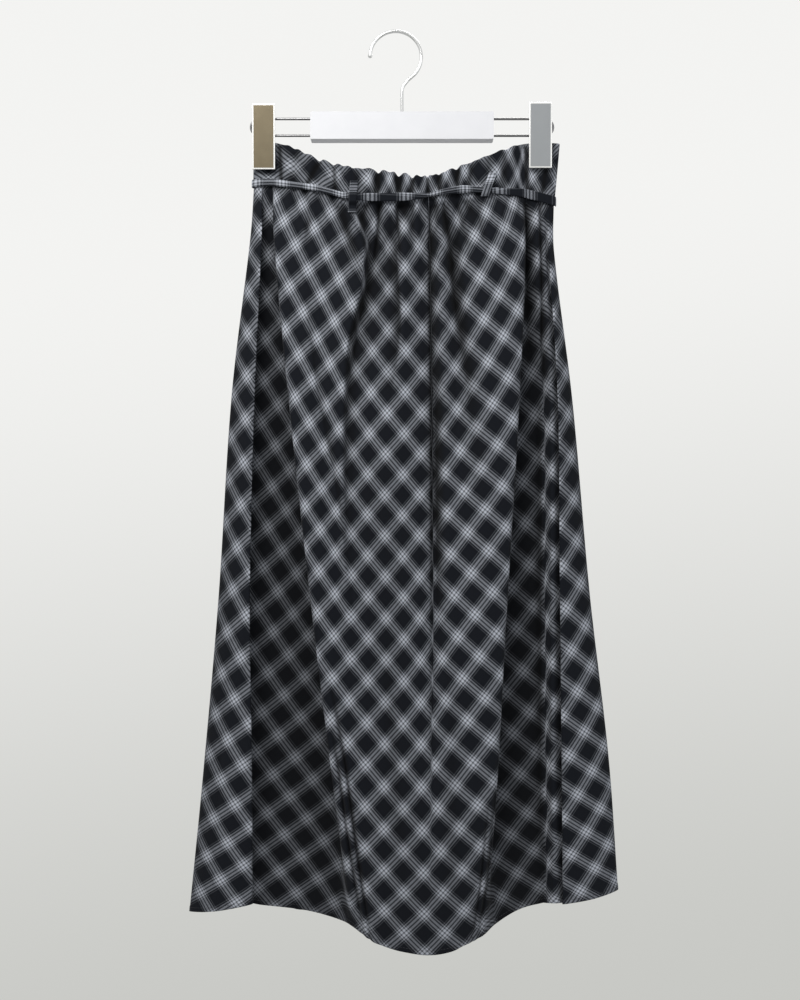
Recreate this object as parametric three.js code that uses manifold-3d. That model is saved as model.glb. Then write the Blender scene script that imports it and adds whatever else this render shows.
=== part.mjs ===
// Checked bias-cut skirt hanging from a clip hanger.
// Millimetres, +Z up, front facing -Y. The origin is the inside of the hook's crown.
import * as THREE from 'three';
import Module from 'manifold-3d';
import { mergeVertices } from 'three/addons/utils/BufferGeometryUtils.js';

// ---- driving dimensions -------------------------------------------------------------------
const CLOTH = 1.2;            // wall of the skirt panels
const BAND_WALL = 2.4;        // elastic casing of the waistband
const SEAM_GAP = 0.3;         // between neighbouring pieces

const GATHER_PITCH = 11.8;    // one gather of the elastic
const GATHER_DEPTH = 1.6;     // half height of a gather at the seam
const GATHER_FADE = 0.055;    // share of the skirt's length over which the gathers die out

const SKIRT_LENGTH = 745;     // below the waistband

const BELT_WIDTH = 7;
const BELT_THICK = 1.2;
const BELT_CLEAR = 0.5;       // between the crests of the gathers and the belt
const LOOP_WIDTH = 8;
const LOOP_THICK = 1;
const LOOP_EASE = 1.5;        // a loop runs straight this far past the belt's edges
const LOOP_MARGIN = 3;        // cloth beside a loop that it also clears
const LOOP_KNEE = 0.6;        // where a loop has come down on the cloth, as a share of its arm

const HANGER_X = 6.6;         // middle of the hanger, to the side of the hook's crown
const BAR = { width: 188, depth: 15, height: 28, middleZ: -97.2, corner: 1.5 };
const ROD = { radius: 1.3, spacing: 17.2, halfSpan: 155.5, socket: 14, steps: 44, holeSides: 12 };
const HOOK = { wire: 1.7, radius: 26.5, tipAngle: 176, neckAngle: -38, steps: 42 };
// Middle of the wire between the hook's round and its stem.
const HOOK_NECK = [{ x: 5.6, z: -49.4 }, { x: 0.8, z: -56 }, { x: 0, z: -62 }];
const CLIP = {
  x: 141.7, width: 23.5, height: 66.5, cover: 2, coverTopY: -9.4, coverLowY: -6.8,
  bodyX: 138.8, bodyWidth: 15, backY: 7, blockHeight: 36, jaw: 2.5, grip: 3, inset: 3, corner: 0.8,
};
const CLIP_LEFT_TOP = -76;
const CLIP_RIGHT_TOP = -74.5;

// ---- tables of the garment ----------------------------------------------------------------
// Waist, from the left end to the right end: where the top edge and the seam under the band lie.
const WAIST = [
  { x: -156, top: -114, seam: -156 },
  { x: -134, top: -114, seam: -155.5 },
  { x: -111, top: -120.5, seam: -159 },
  { x: -90, top: -131, seam: -162.5 },
  { x: -58, top: -141, seam: -171.5 },
  { x: -31, top: -144.5, seam: -174 },
  { x: 0, top: -149, seam: -173.5 },
  { x: 20, top: -151.5, seam: -172.5 },
  { x: 45, top: -146, seam: -167 },
  { x: 87, top: -129.5, seam: -163.5 },
  { x: 104, top: -122.5, seam: -164 },
  { x: 128, top: -115.5, seam: -167.5 },
  { x: 156, top: -115, seam: -174 },
];

// Share of the length, below the seam, of the stations in the fold tables.
const STATIONS = [0, 0.07, 0.29, 0.57, 0.81, 1];

// Fold lines of the front, left to right. x and y hold one value for each station,
// hem is the height of the cut edge, steps the facets up to the next line,
// gather the strength of the elastic there.
const FRONT = [
  { name: 'side_left', hem: -903, steps: 2, gather: 0,
    x: [-152, -155.5, -175, -188.5, -204, -218], y: [-0.15, -0.15, -0.15, -0.15, -0.15, -0.15] },
  { name: 'side_left_turn', hem: -902.5, steps: 2, gather: 0,
    x: [-151.6, -155, -174.2, -187.6, -203, -217], y: [-1.5, -3, -4, -5, -6, -6] },
  { name: 'flap_left', hem: -897, steps: 2, gather: 0.1,
    x: [-148, -149, -162, -171.5, -178, -186], y: [-3.2, -9, -14, -18, -22, -22] },
  { name: 'flap_left_edge', hem: -889.5, steps: 2, gather: 0.2,
    x: [-144.5, -143.4, -149.6, -154, -151.8, -151.7], y: [-3.8, -11, -19, -24, -26, -22] },
  { name: 'flap_left_under', hem: -891, steps: 2, gather: 0.1,
    x: [-142.6, -146, -156, -161, -158, -155], y: [-3.4, -4, -9, -12, -13, -14] },
  { name: 'recess_left_start', hem: -895.5, steps: 2, gather: 0.1,
    x: [-140, -140.5, -146, -150, -148, -146], y: [-3.2, -1.6, -2, -3, -4, -6] },
  { name: 'recess_left', hem: -900, steps: 2, gather: 0.2,
    x: [-137.5, -136.5, -132, -123.5, -110, -98], y: [-3.4, -1.8, -1.6, -2, -6, -10] },
  { name: 'recess_left_end', hem: -905.5, steps: 2, gather: 0.2,
    x: [-134.5, -130, -112.5, -88.5, -66.5, -60], y: [-3.6, -3, -4, -6, -13, -24] },
  { name: 'main_left_edge', hem: -907.5, steps: 7, gather: 0.3,
    x: [-131, -130.4, -114.7, -91.3, -68.9, -49], y: [-4.2, -13, -24, -32, -38, -36] },
  { name: 'main_left', hem: -915, steps: 8, gather: 1,
    x: [-110, -104, -95, -75, -56.5, -36], y: [-7, -15.5, -29, -37, -43, -44] },
  { name: 'main_left_valley', hem: -919.5, steps: 9, gather: 1,
    x: [-86, -80, -81, -64, -44, -28], y: [-10, -15, -26, -35, -43, -47] },
  { name: 'pleat_edge', hem: -921.5, steps: 2, gather: 1,
    x: [-58.7, -38.5, -60, -54, -34, -20], y: [-13, -20, -31, -38, -45.5, -49.5] },
  { name: 'pleat_foot', hem: -923.5, steps: 14, gather: 1,
    x: [-52.5, -33, -54, -47, -26, -13], y: [-13.4, -13, -25, -36, -46, -51] },
  { name: 'centre_ridge', hem: -926, steps: 10, gather: 1,
    x: [-6, -5, -10, -7, -2, 0], y: [-15.5, -18, -31, -41, -49, -54] },
  { name: 'centre_valley', hem: -928.7, steps: 4, gather: 1,
    x: [26, 27.6, 29.4, 30, 27.7, 25.6], y: [-14.6, -10, -20, -35, -49, -56] },
  { name: 'narrow_ridge', hem: -925.6, steps: 6, gather: 1,
    x: [37, 39.6, 43.3, 45, 47.5, 49.3], y: [-14, -18, -30, -40, -50, -55] },
  { name: 'right_valley', hem: -921.3, steps: 4, gather: 1,
    x: [54.6, 55.2, 56.5, 59.8, 60.5, 60], y: [-12.6, -9.5, -26, -40, -49, -52] },
  { name: 'main_right', hem: -918.5, steps: 18, gather: 1,
    x: [66, 66, 73.3, 75.7, 73.3, 69.4], y: [-11.6, -18, -32, -42, -48, -48] },
  { name: 'main_right_edge', hem: -914.5, steps: 2, gather: 0.3,
    x: [124, 125.3, 117.4, 104, 93.6, 81], y: [-5, -14, -27, -36, -41, -40] },
  { name: 'recess_right_start', hem: -908.6, steps: 2, gather: 0.2,
    x: [128, 125.8, 115.2, 101.5, 91.5, 93], y: [-4.2, -4.5, -7, -9, -14, -27] },
  { name: 'recess_right', hem: -897.4, steps: 3, gather: 0.2,
    x: [132, 131.5, 131.5, 129.4, 124.9, 120.3], y: [-4, -3, -3, -4, -7, -13] },
  { name: 'recess_right_ridge', hem: -892.5, steps: 2, gather: 0.2,
    x: [140, 138.4, 145, 146, 146.6, 147.2], y: [-3.8, -8, -4, -5, -6, -10] },
  { name: 'strip_right', hem: -890, steps: 2, gather: 0.1,
    x: [144.5, 146, 152.5, 152.8, 153.6, 155.3], y: [-3.4, -5.5, -12, -14, -15, -17] },
  { name: 'flap_right_under', hem: -892, steps: 2, gather: 0.1,
    x: [147.2, 148.6, 162.7, 165.7, 167.7, 167.3], y: [-3, -4, -7, -8.5, -9, -11.5] },
  { name: 'flap_right_edge', hem: -890.5, steps: 2, gather: 0.1,
    x: [149.6, 150.8, 158.6, 160.3, 162, 163.2], y: [-3, -7.5, -16, -19, -21, -20] },
  { name: 'flap_right', hem: -886.5, steps: 2, gather: 0,
    x: [152.4, 153.2, 167.7, 177.3, 189.3, 193.2], y: [-2.6, -5.5, -11, -15, -17, -17] },
  { name: 'side_right_turn', hem: -880.5, steps: 2, gather: 0,
    x: [155.4, 155.6, 174.3, 191.8, 211, 220.5], y: [-1.5, -2.6, -4, -5, -6, -6] },
  { name: 'side_right', hem: -880, steps: 0, gather: 0,
    x: [156, 156, 175, 192.6, 212, 221.5], y: [-0.15, -0.15, -0.15, -0.15, -0.15, -0.15] },
];

// Fold lines of the back, left to right.
const BACK = [
  { name: 'side_left', hem: -903, steps: 2, gather: 0,
    x: [-152, -155.5, -175, -188.5, -204, -218], y: [0.15, 0.15, 0.15, 0.15, 0.15, 0.15] },
  { name: 'side_left_turn', hem: -902.5, steps: 3, gather: 0,
    x: [-151.6, -155, -174.2, -187.6, -203, -217], y: [1.5, 3, 4, 5, 6, 6] },
  { name: 'back_1', hem: -899, steps: 7, gather: 0.3,
    x: [-142, -143, -152, -160, -168, -176], y: [3, 6, 12, 14, 14, 12] },
  { name: 'back_2', hem: -899, steps: 8, gather: 1,
    x: [-116, -118, -124, -130, -134, -140], y: [5, 10, 18, 22, 24, 26] },
  { name: 'back_3', hem: -905, steps: 8, gather: 1,
    x: [-90, -92, -96, -100, -104, -110], y: [8, 9, 12, 12, 10, 8] },
  { name: 'back_4', hem: -912, steps: 8, gather: 1,
    x: [-62, -64, -66, -70, -74, -80], y: [11, 14, 20, 24, 26, 28] },
  { name: 'back_5', hem: -918, steps: 8, gather: 1,
    x: [-34, -35, -36, -38, -40, -44], y: [13, 13, 15, 16, 14, 12] },
  { name: 'back_6', hem: -922, steps: 8, gather: 1,
    x: [-5, -5, -4, -4, -2, 0], y: [14, 16, 22, 26, 28, 30] },
  { name: 'back_7', hem: -922, steps: 8, gather: 1,
    x: [24, 25, 27, 28, 30, 32], y: [13, 13, 15, 15, 14, 12] },
  { name: 'back_8', hem: -915, steps: 8, gather: 1,
    x: [52, 54, 58, 62, 66, 72], y: [12, 14, 20, 24, 26, 27] },
  { name: 'back_9', hem: -900, steps: 8, gather: 1,
    x: [82, 85, 92, 98, 104, 110], y: [9, 10, 12, 12, 10, 9] },
  { name: 'back_10', hem: -893, steps: 8, gather: 1,
    x: [112, 116, 124, 132, 140, 146], y: [5, 9, 18, 22, 24, 25] },
  { name: 'back_11', hem: -885, steps: 3, gather: 0.3,
    x: [142, 144, 156, 168, 182, 188], y: [3, 6, 11, 13, 12, 11] },
  { name: 'side_right_turn', hem: -880.5, steps: 2, gather: 0,
    x: [155.4, 155.6, 174.3, 191.8, 211, 220.5], y: [1.5, 2.6, 4, 5, 6, 6] },
  { name: 'side_right', hem: -880, steps: 0, gather: 0,
    x: [156, 156, 175, 192.6, 212, 221.5], y: [0.15, 0.15, 0.15, 0.15, 0.15, 0.15] },
];

// Rows of facets down the panels, as shares of the length.
const FRONT_LEVELS = [0, 0.025, 0.06, 0.11, 0.19, 0.31, 0.45, 0.61, 0.79, 1];
const BACK_LEVELS = [0, 0.03, 0.08, 0.17, 0.33, 0.55, 0.78, 1];
// Rows of the waistband, from its top edge (0) to the seam (1).
const BAND_LEVELS = [0, 0.68, 1];
const BAND_RIGHT_FLARE = 5.5; // the band's right end stands out over the seam
const FLARE_START_X = 120;
const WAIST_END_X = 156;
const BAND_TOP_DEPTH = 0.85;  // depth at the top edge, as a share of the depth at the seam
const CLIP_FLAT_Y = 1.5;      // half gap between the two layers that a clip presses together
const PRESS_START_X = 112;    // the clips' press grows from here to PRESS_FULL_X
const PRESS_FULL_X = 126;

// Belt loops: side (-1 in front), place across, heights above and below the belt's middle.
const LOOPS = [
  { name: 'belt_loop_front_left', side: -1, x: -50, above: 17, below: 16 },
  { name: 'belt_loop_front_right', side: -1, x: 88, above: 17, below: 8 },
  { name: 'belt_loop_back_left', side: 1, x: -70, above: 17, below: 12 },
  { name: 'belt_loop_back_right', side: 1, x: 76, above: 17, below: 12 },
];

// ---- small helpers ------------------------------------------------------------------------
const lerp = THREE.MathUtils.lerp;
const smooth = THREE.MathUtils.smoothstep;

// Smooth curve through values at rising knots.
function through(knots, values, at) {
  const last = knots.length - 1;
  let i = 0;
  while (i < last - 1 && at > knots[i + 1]) i += 1;
  const slope = (k) => {
    const low = Math.max(k - 1, 0);
    const high = Math.min(k + 1, last);
    return (values[high] - values[low]) / (knots[high] - knots[low]);
  };
  const span = knots[i + 1] - knots[i];
  const t = (at - knots[i]) / span;
  const t2 = t * t;
  const t3 = t2 * t;
  return values[i] * (2 * t3 - 3 * t2 + 1) + slope(i) * span * (t3 - 2 * t2 + t)
    + values[i + 1] * (3 * t2 - 2 * t3) + slope(i + 1) * span * (t3 - t2);
}

const WAIST_X = WAIST.map((row) => row.x);
const topZ = (x) => through(WAIST_X, WAIST.map((row) => row.top), x);
const seamZ = (x) => through(WAIST_X, WAIST.map((row) => row.seam), x);

// A level line of the panel through its fold lines, as a curve with one segment for each row.
function levelCurve(table, level) {
  const points = table.map((row) => {
    const x = through(STATIONS, row.x, level);
    const y = through(STATIONS, row.y, level);
    return new THREE.Vector3(x, y, lerp(seamZ(row.x[0]), row.hem, level));
  });
  return new THREE.CatmullRomCurve3(points, false, 'centripetal');
}

// Where along the fold table each facet line lies, with its gather strength and waist place.
function columns(table) {
  const list = [];
  table.forEach((row, index) => {
    const next = table[Math.min(index + 1, table.length - 1)];
    const count = index === table.length - 1 ? 1 : row.steps;
    for (let step = 0; step < count; step += 1) {
      const share = step / count;
      list.push({
        at: (index + share) / (table.length - 1),
        gather: lerp(row.gather, next.gather, share),
        waistX: lerp(row.x[0], next.x[0], share),
      });
    }
  });
  return list;
}

// Unit vector out of the section, level with the ground. side is -1 in front and 1 behind.
function outward(points, index, side) {
  const before = points[Math.max(index - 1, 0)];
  const after = points[Math.min(index + 1, points.length - 1)];
  const along = new THREE.Vector3(after.x - before.x, after.y - before.y, 0).normalize();
  return new THREE.Vector3(-along.y * side, along.x * side, 0);
}

// Uneven gathers: height of the wave at a place on the waist.
function gatherWave(x) {
  const phase = (2 * Math.PI * x) / GATHER_PITCH + 0.9 * Math.sin(x / 23) + 0.5 * Math.sin(x / 9.1);
  const strength = 0.8 + 0.2 * Math.sin(x / 17 + 1);
  return GATHER_DEPTH * strength * Math.sin(phase);
}

// The middle of the cloth on one level, with gathers of the given strength.
function section(table, level, side, depth) {
  const curve = levelCurve(table, level);
  const places = columns(table);
  const bare = places.map((place) => curve.getPoint(place.at));
  return bare.map((point, index) => {
    const wave = gatherWave(places[index].waistX) * places[index].gather * depth;
    return point.clone().addScaledVector(outward(bare, index, side), wave);
  });
}

// ---- closed walls -------------------------------------------------------------------------
function meshFrom(name, positions, triangles, look) {
  const geometry = new THREE.BufferGeometry();
  geometry.setAttribute('position', new THREE.Float32BufferAttribute(positions, 3));
  geometry.setIndex(triangles);
  geometry.computeVertexNormals();
  const mesh = new THREE.Mesh(geometry, new THREE.MeshStandardMaterial(look));
  mesh.name = name;
  return mesh;
}

// A wall around rows of middle points: rows run down, points along a row run left to right.
// side tells which way is out. A closed row joins its last point to its first.
function wall(name, rows, thickness, side, closed, look) {
  const count = rows[0].length;
  const positions = [];
  const place = (point) => positions.push(point.x, point.y, point.z);
  rows.forEach((row) => {
    row.forEach((point, index) => {
      let out = outward(row, index, side);
      if (closed) {
        const ring = [row[(index + count - 1) % count], point, row[(index + 1) % count]];
        out = outward(ring, 1, side);
      }
      place(point.clone().addScaledVector(out, thickness / 2));
      place(point.clone().addScaledVector(out, -thickness / 2));
    });
  });
  const outer = (row, index) => 2 * (row * count + (index % count));
  const inner = (row, index) => outer(row, index) + 1;
  const triangles = [];
  const quad = (a, b, c, d) => {
    if (side < 0) triangles.push(a, b, c, a, c, d);
    else triangles.push(a, c, b, a, d, c);
  };
  const lastRow = rows.length - 1;
  const spans = closed ? count : count - 1;
  for (let row = 0; row < lastRow; row += 1) {
    for (let i = 0; i < spans; i += 1) {
      quad(outer(row + 1, i), outer(row + 1, i + 1), outer(row, i + 1), outer(row, i));
      quad(inner(row + 1, i + 1), inner(row + 1, i), inner(row, i), inner(row, i + 1));
    }
    if (!closed) {
      quad(inner(row + 1, 0), outer(row + 1, 0), outer(row, 0), inner(row, 0));
      quad(outer(row + 1, spans), inner(row + 1, spans), inner(row, spans), outer(row, spans));
    }
  }
  for (let i = 0; i < spans; i += 1) {
    quad(outer(0, i), outer(0, i + 1), inner(0, i + 1), inner(0, i));
    quad(inner(lastRow, i), inner(lastRow, i + 1), outer(lastRow, i + 1), outer(lastRow, i));
  }
  return meshFrom(name, positions, triangles, look);
}

const CHECK_CLOTH = { color: 0x3b3d44, roughness: 0.9, metalness: 0 };
const CHROME = { color: 0xc9ccd0, roughness: 0.2, metalness: 0.9 };
const WHITE_PLASTIC = { color: 0xf1f2f5, roughness: 0.4, metalness: 0 };

// ---- the skirt ----------------------------------------------------------------------------
function panel(name, table, levels, side) {
  const rows = levels.map((level) => {
    const depth = Math.exp(-level / GATHER_FADE);
    const row = section(table, level, side, depth);
    if (level === 0) row.forEach((point) => { point.z -= SEAM_GAP / 2; });
    return row;
  });
  return wall(name, rows, CLOTH, side, false, CHECK_CLOTH);
}

// A closed line from one in front and one behind that both run left to right and share their ends.
function ring(front, back) {
  return front.concat(back.reverse().slice(1, -1));
}

// One level of the waistband, all round.
function bandRing(level) {
  const half = (table, side) => section(table, 0, side, 1).map((point) => {
    const flare = BAND_RIGHT_FLARE * (1 - level) * smooth(point.x, FLARE_START_X, WAIST_END_X);
    const inClip = smooth(Math.abs(point.x), PRESS_START_X, PRESS_FULL_X);
    const flat = side * Math.min(Math.abs(point.y), CLIP_FLAT_Y);
    const topY = lerp(point.y * BAND_TOP_DEPTH, flat, inClip);
    const y = lerp(topY, point.y, smooth(level, BAND_LEVELS[1], 1));
    const z = lerp(topZ(point.x), point.z + SEAM_GAP / 2, level);
    return new THREE.Vector3(point.x + flare, y, z);
  });
  return ring(half(FRONT, -1), half(BACK, 1));
}

function waistband() {
  return wall('waistband', BAND_LEVELS.map(bandRing), BAND_WALL, -1, true, CHECK_CLOTH);
}

// The ungathered waist line at the seam, moved out onto the crests of the gathers.
function crestLine(table, side, extra) {
  const curve = levelCurve(table, 0);
  const places = columns(table);
  const bare = places.map((place) => curve.getPoint(place.at));
  return bare.map((point, index) => {
    const out = BAND_WALL / 2 + GATHER_DEPTH * places[index].gather + extra;
    return point.clone().addScaledVector(outward(bare, index, side), out);
  });
}

function belt() {
  const extra = BELT_CLEAR + BELT_THICK / 2;
  const line = ring(crestLine(FRONT, -1, extra), crestLine(BACK, 1, extra));
  const rows = [BELT_WIDTH / 2, -BELT_WIDTH / 2].map((rise) => line.map((point) => {
    return new THREE.Vector3(point.x, point.y, point.z + rise);
  }));
  return wall('belt', rows, BELT_THICK, -1, true, CHECK_CLOTH);
}

// How far out the points near a place across stand.
function reach(points, side, x) {
  const near = points.filter((point) => Math.abs(point.x - x) < LOOP_WIDTH / 2 + LOOP_MARGIN);
  return Math.max(...near.map((point) => point.y * side));
}

// Where the inside of a belt loop lies, at a height over the seam.
function loopSeat(table, side, x, rise) {
  if (rise >= 0) {
    const share = rise / (topZ(x) - seamZ(x));
    return reach(bandRing(1 - share), side, x) + BAND_WALL / 2 + SEAM_GAP;
  }
  const level = -rise / SKIRT_LENGTH;
  const row = section(table, level, side, Math.exp(-level / GATHER_FADE));
  return reach(row, side, x) + CLOTH / 2 + SEAM_GAP;
}

// A strip that starts on the band, passes over the belt and ends on the panel.
function beltLoop(spec) {
  const table = spec.side < 0 ? FRONT : BACK;
  const line = crestLine(table, spec.side, BELT_CLEAR + BELT_THICK + SEAM_GAP);
  const overBelt = reach(line, spec.side, spec.x);
  const middle = seamZ(spec.x);
  const shoulder = BELT_WIDTH / 2 + LOOP_EASE;
  const heights = [spec.above, lerp(shoulder, spec.above, LOOP_KNEE), shoulder,
    -shoulder, -lerp(shoulder, spec.below, LOOP_KNEE), -spec.below];
  const rows = heights.map((rise) => {
    const over = Math.abs(rise) <= shoulder;
    const out = over ? overBelt : loopSeat(table, spec.side, spec.x, rise);
    const y = spec.side * (out + LOOP_THICK / 2);
    return [-LOOP_WIDTH / 2, 0, LOOP_WIDTH / 2].map((across) => {
      return new THREE.Vector3(spec.x + across, y, middle + rise);
    });
  });
  return wall(spec.name, rows, LOOP_THICK, spec.side, false, CHECK_CLOTH);
}

// ---- the hanger ---------------------------------------------------------------------------
function tidy(geometry) {
  geometry.deleteAttribute('normal');
  geometry.deleteAttribute('uv');
  return mergeVertices(geometry, 1e-3);
}

function named(name, geometry, look) {
  const mesh = new THREE.Mesh(tidy(geometry), new THREE.MeshStandardMaterial(look));
  mesh.geometry.computeVertexNormals();
  mesh.name = name;
  return mesh;
}

// A round wire along a curve.
function wire(curve, radius, steps) {
  const round = new THREE.Shape();
  round.absarc(0, 0, radius, 0, 2 * Math.PI, false);
  const options = { steps, curveSegments: 4, bevelEnabled: false, extrudePath: curve };
  return new THREE.ExtrudeGeometry(round, options);
}

const wasm = await Module();
wasm.setup();

function solid(geometry) {
  const merged = tidy(geometry.clone());
  const mesh = new wasm.Mesh({
    numProp: 3,
    vertProperties: new Float32Array(merged.attributes.position.array),
    triVerts: new Uint32Array(merged.index.array),
  });
  return new wasm.Manifold(mesh);
}

function geometryOf(body) {
  const mesh = body.getMesh();
  const geometry = new THREE.BufferGeometry();
  geometry.setAttribute('position', new THREE.BufferAttribute(mesh.vertProperties, 3));
  geometry.setIndex(new THREE.BufferAttribute(mesh.triVerts, 1));
  return geometry;
}

// A box with rounded upright edges seen from the front.
function roundedPlate(width, height, depth, corner) {
  const shape = new THREE.Shape();
  const halfW = width / 2;
  const halfH = height / 2;
  shape.moveTo(-halfW + corner, -halfH);
  shape.lineTo(halfW - corner, -halfH);
  shape.absarc(halfW - corner, -halfH + corner, corner, -Math.PI / 2, 0, false);
  shape.absarc(halfW - corner, halfH - corner, corner, 0, Math.PI / 2, false);
  shape.absarc(-halfW + corner, halfH - corner, corner, Math.PI / 2, Math.PI, false);
  shape.absarc(-halfW + corner, -halfH + corner, corner, Math.PI, 1.5 * Math.PI, false);
  const geometry = new THREE.ExtrudeGeometry(shape, { depth, curveSegments: 3, bevelEnabled: false });
  geometry.translate(0, 0, -depth / 2);
  geometry.rotateX(Math.PI / 2);
  return geometry;
}

const ROD_HEIGHTS = [BAR.middleZ + ROD.spacing / 2, BAR.middleZ - ROD.spacing / 2];

// Holes for the two rods, from one place across to another.
function rodHoles(fromX, toX) {
  const radius = ROD.radius + SEAM_GAP;
  return ROD_HEIGHTS.map((z) => {
    const hole = new THREE.CylinderGeometry(radius, radius, toX - fromX, ROD.holeSides);
    hole.rotateZ(Math.PI / 2);
    hole.translate((fromX + toX) / 2, 0, z);
    return solid(hole);
  });
}

function bar() {
  const plate = roundedPlate(BAR.width, BAR.height, BAR.depth, BAR.corner);
  plate.translate(0, 0, BAR.middleZ);
  const mouth = BAR.width / 2 + 1;
  const bottom = BAR.width / 2 - ROD.socket - SEAM_GAP;
  const holes = rodHoles(-mouth, -bottom).concat(rodHoles(bottom, mouth));
  const cut = holes.reduce((body, hole) => body.subtract(hole), solid(plate));
  return named('hanger_bar', geometryOf(cut), WHITE_PLASTIC);
}

// One bent wire: in the bar's end, out, round and back.
function rods(name, side) {
  const turn = ROD.spacing / 2;
  const start = side * (BAR.width / 2 - ROD.socket);
  const bend = side * (ROD.halfSpan - turn);
  const BEND_STEPS = 8;
  const points = [new THREE.Vector3(start, 0, ROD_HEIGHTS[0])];
  for (let i = 0; i <= BEND_STEPS; i += 1) {
    const angle = Math.PI / 2 - (Math.PI * i) / BEND_STEPS;
    const x = bend + side * turn * Math.cos(angle);
    points.push(new THREE.Vector3(x, 0, BAR.middleZ + turn * Math.sin(angle)));
  }
  points.push(new THREE.Vector3(start, 0, ROD_HEIGHTS[1]));
  const path = new THREE.CurvePath();
  for (let i = 1; i < points.length; i += 1) path.add(new THREE.LineCurve3(points[i - 1], points[i]));
  return named(name, wire(path, ROD.radius, ROD.steps), CHROME);
}

function hook() {
  const middle = { x: -HANGER_X, z: HOOK.wire - HOOK.radius };
  const points = [];
  const ARC_STEPS = 12;
  for (let i = 0; i <= ARC_STEPS; i += 1) {
    const angle = THREE.MathUtils.degToRad(lerp(HOOK.tipAngle, HOOK.neckAngle, i / ARC_STEPS));
    const x = middle.x + HOOK.radius * Math.cos(angle);
    points.push(new THREE.Vector3(x, 0, middle.z + HOOK.radius * Math.sin(angle)));
  }
  HOOK_NECK.forEach(({ x, z }) => points.push(new THREE.Vector3(x, 0, z)));
  points.push(new THREE.Vector3(0, 0, BAR.middleZ + BAR.height / 2 + SEAM_GAP));
  const curve = new THREE.CatmullRomCurve3(points, false, 'centripetal');
  return named('hanger_hook', wire(curve, HOOK.wire, HOOK.steps), CHROME);
}

// A profile in the Y-Z plane, drawn out across X.
function across(profile, width) {
  const shape = new THREE.Shape(profile.map(([y, z]) => new THREE.Vector2(y, z)));
  const geometry = new THREE.ExtrudeGeometry(shape, { depth: width, bevelEnabled: false });
  geometry.translate(0, 0, -width / 2);
  geometry.rotateX(Math.PI / 2);
  geometry.rotateZ(Math.PI / 2);
  return geometry;
}

// Body that runs on the rods, with the two jaws that hold the waistband.
function clipBody(name, x, top) {
  const foot = top - CLIP.height + CLIP.inset;
  const head = top - CLIP.inset;
  const low = top - CLIP.blockHeight;
  const behindCover = (z) => {
    return lerp(CLIP.coverTopY, CLIP.coverLowY, (top - z) / CLIP.height) + CLIP.cover / 2 + SEAM_GAP;
  };
  const profile = [
    [behindCover(head), head], [behindCover(foot), foot], [-CLIP.grip, foot], [-CLIP.grip, low],
    [CLIP.grip, low], [CLIP.grip, foot], [CLIP.grip + CLIP.jaw, foot], [CLIP.backY, low], [CLIP.backY, head],
  ];
  const body = across(profile, CLIP.bodyWidth);
  body.translate(x, 0, 0);
  const holes = rodHoles(x - CLIP.bodyWidth, x + CLIP.bodyWidth);
  const cut = holes.reduce((rest, hole) => rest.subtract(hole), solid(body));
  return named(name, geometryOf(cut), CHROME);
}

// The flat bright cover on the front of a clip.
function clipCover(name, x, top) {
  const plate = roundedPlate(CLIP.width, CLIP.height, CLIP.cover, CLIP.corner);
  plate.rotateX(Math.atan2(CLIP.coverLowY - CLIP.coverTopY, CLIP.height));
  plate.translate(x, (CLIP.coverTopY + CLIP.coverLowY) / 2, top - CLIP.height / 2);
  return named(name, plate, CHROME);
}

// ---- the whole ----------------------------------------------------------------------------
const group = new THREE.Group();
const hung = new THREE.Group();
hung.position.set(HANGER_X, 0, 0);
hung.add(panel('front_panel', FRONT, FRONT_LEVELS, -1));
hung.add(panel('back_panel', BACK, BACK_LEVELS, 1));
hung.add(waistband());
hung.add(belt());
LOOPS.forEach((spec) => hung.add(beltLoop(spec)));
hung.add(bar());
hung.add(hook());
hung.add(rods('hanger_rods_left', -1));
hung.add(rods('hanger_rods_right', 1));
hung.add(clipBody('clip_left_body', -CLIP.bodyX, CLIP_LEFT_TOP));
hung.add(clipCover('clip_left_cover', -CLIP.x, CLIP_LEFT_TOP));
hung.add(clipBody('clip_right_body', CLIP.bodyX, CLIP_RIGHT_TOP));
hung.add(clipCover('clip_right_cover', CLIP.x, CLIP_RIGHT_TOP));
group.add(hung);

export default group;
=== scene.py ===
# Checked bias-cut skirt on a clip hanger: cloth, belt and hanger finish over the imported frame.
import math

import bmesh
import bpy
import numpy as np
from mathutils import Matrix, Vector


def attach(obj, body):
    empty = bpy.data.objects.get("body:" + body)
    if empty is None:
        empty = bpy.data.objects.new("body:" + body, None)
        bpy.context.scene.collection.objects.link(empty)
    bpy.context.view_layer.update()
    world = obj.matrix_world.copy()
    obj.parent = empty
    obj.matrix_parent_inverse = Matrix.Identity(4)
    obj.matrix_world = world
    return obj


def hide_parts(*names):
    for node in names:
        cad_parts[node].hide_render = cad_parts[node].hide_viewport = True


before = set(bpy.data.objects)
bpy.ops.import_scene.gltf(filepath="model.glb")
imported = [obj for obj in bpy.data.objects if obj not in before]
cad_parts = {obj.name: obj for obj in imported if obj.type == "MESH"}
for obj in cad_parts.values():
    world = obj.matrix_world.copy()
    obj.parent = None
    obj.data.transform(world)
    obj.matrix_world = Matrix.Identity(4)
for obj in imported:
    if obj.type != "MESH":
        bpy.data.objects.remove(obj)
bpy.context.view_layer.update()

MM = 0.001

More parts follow.
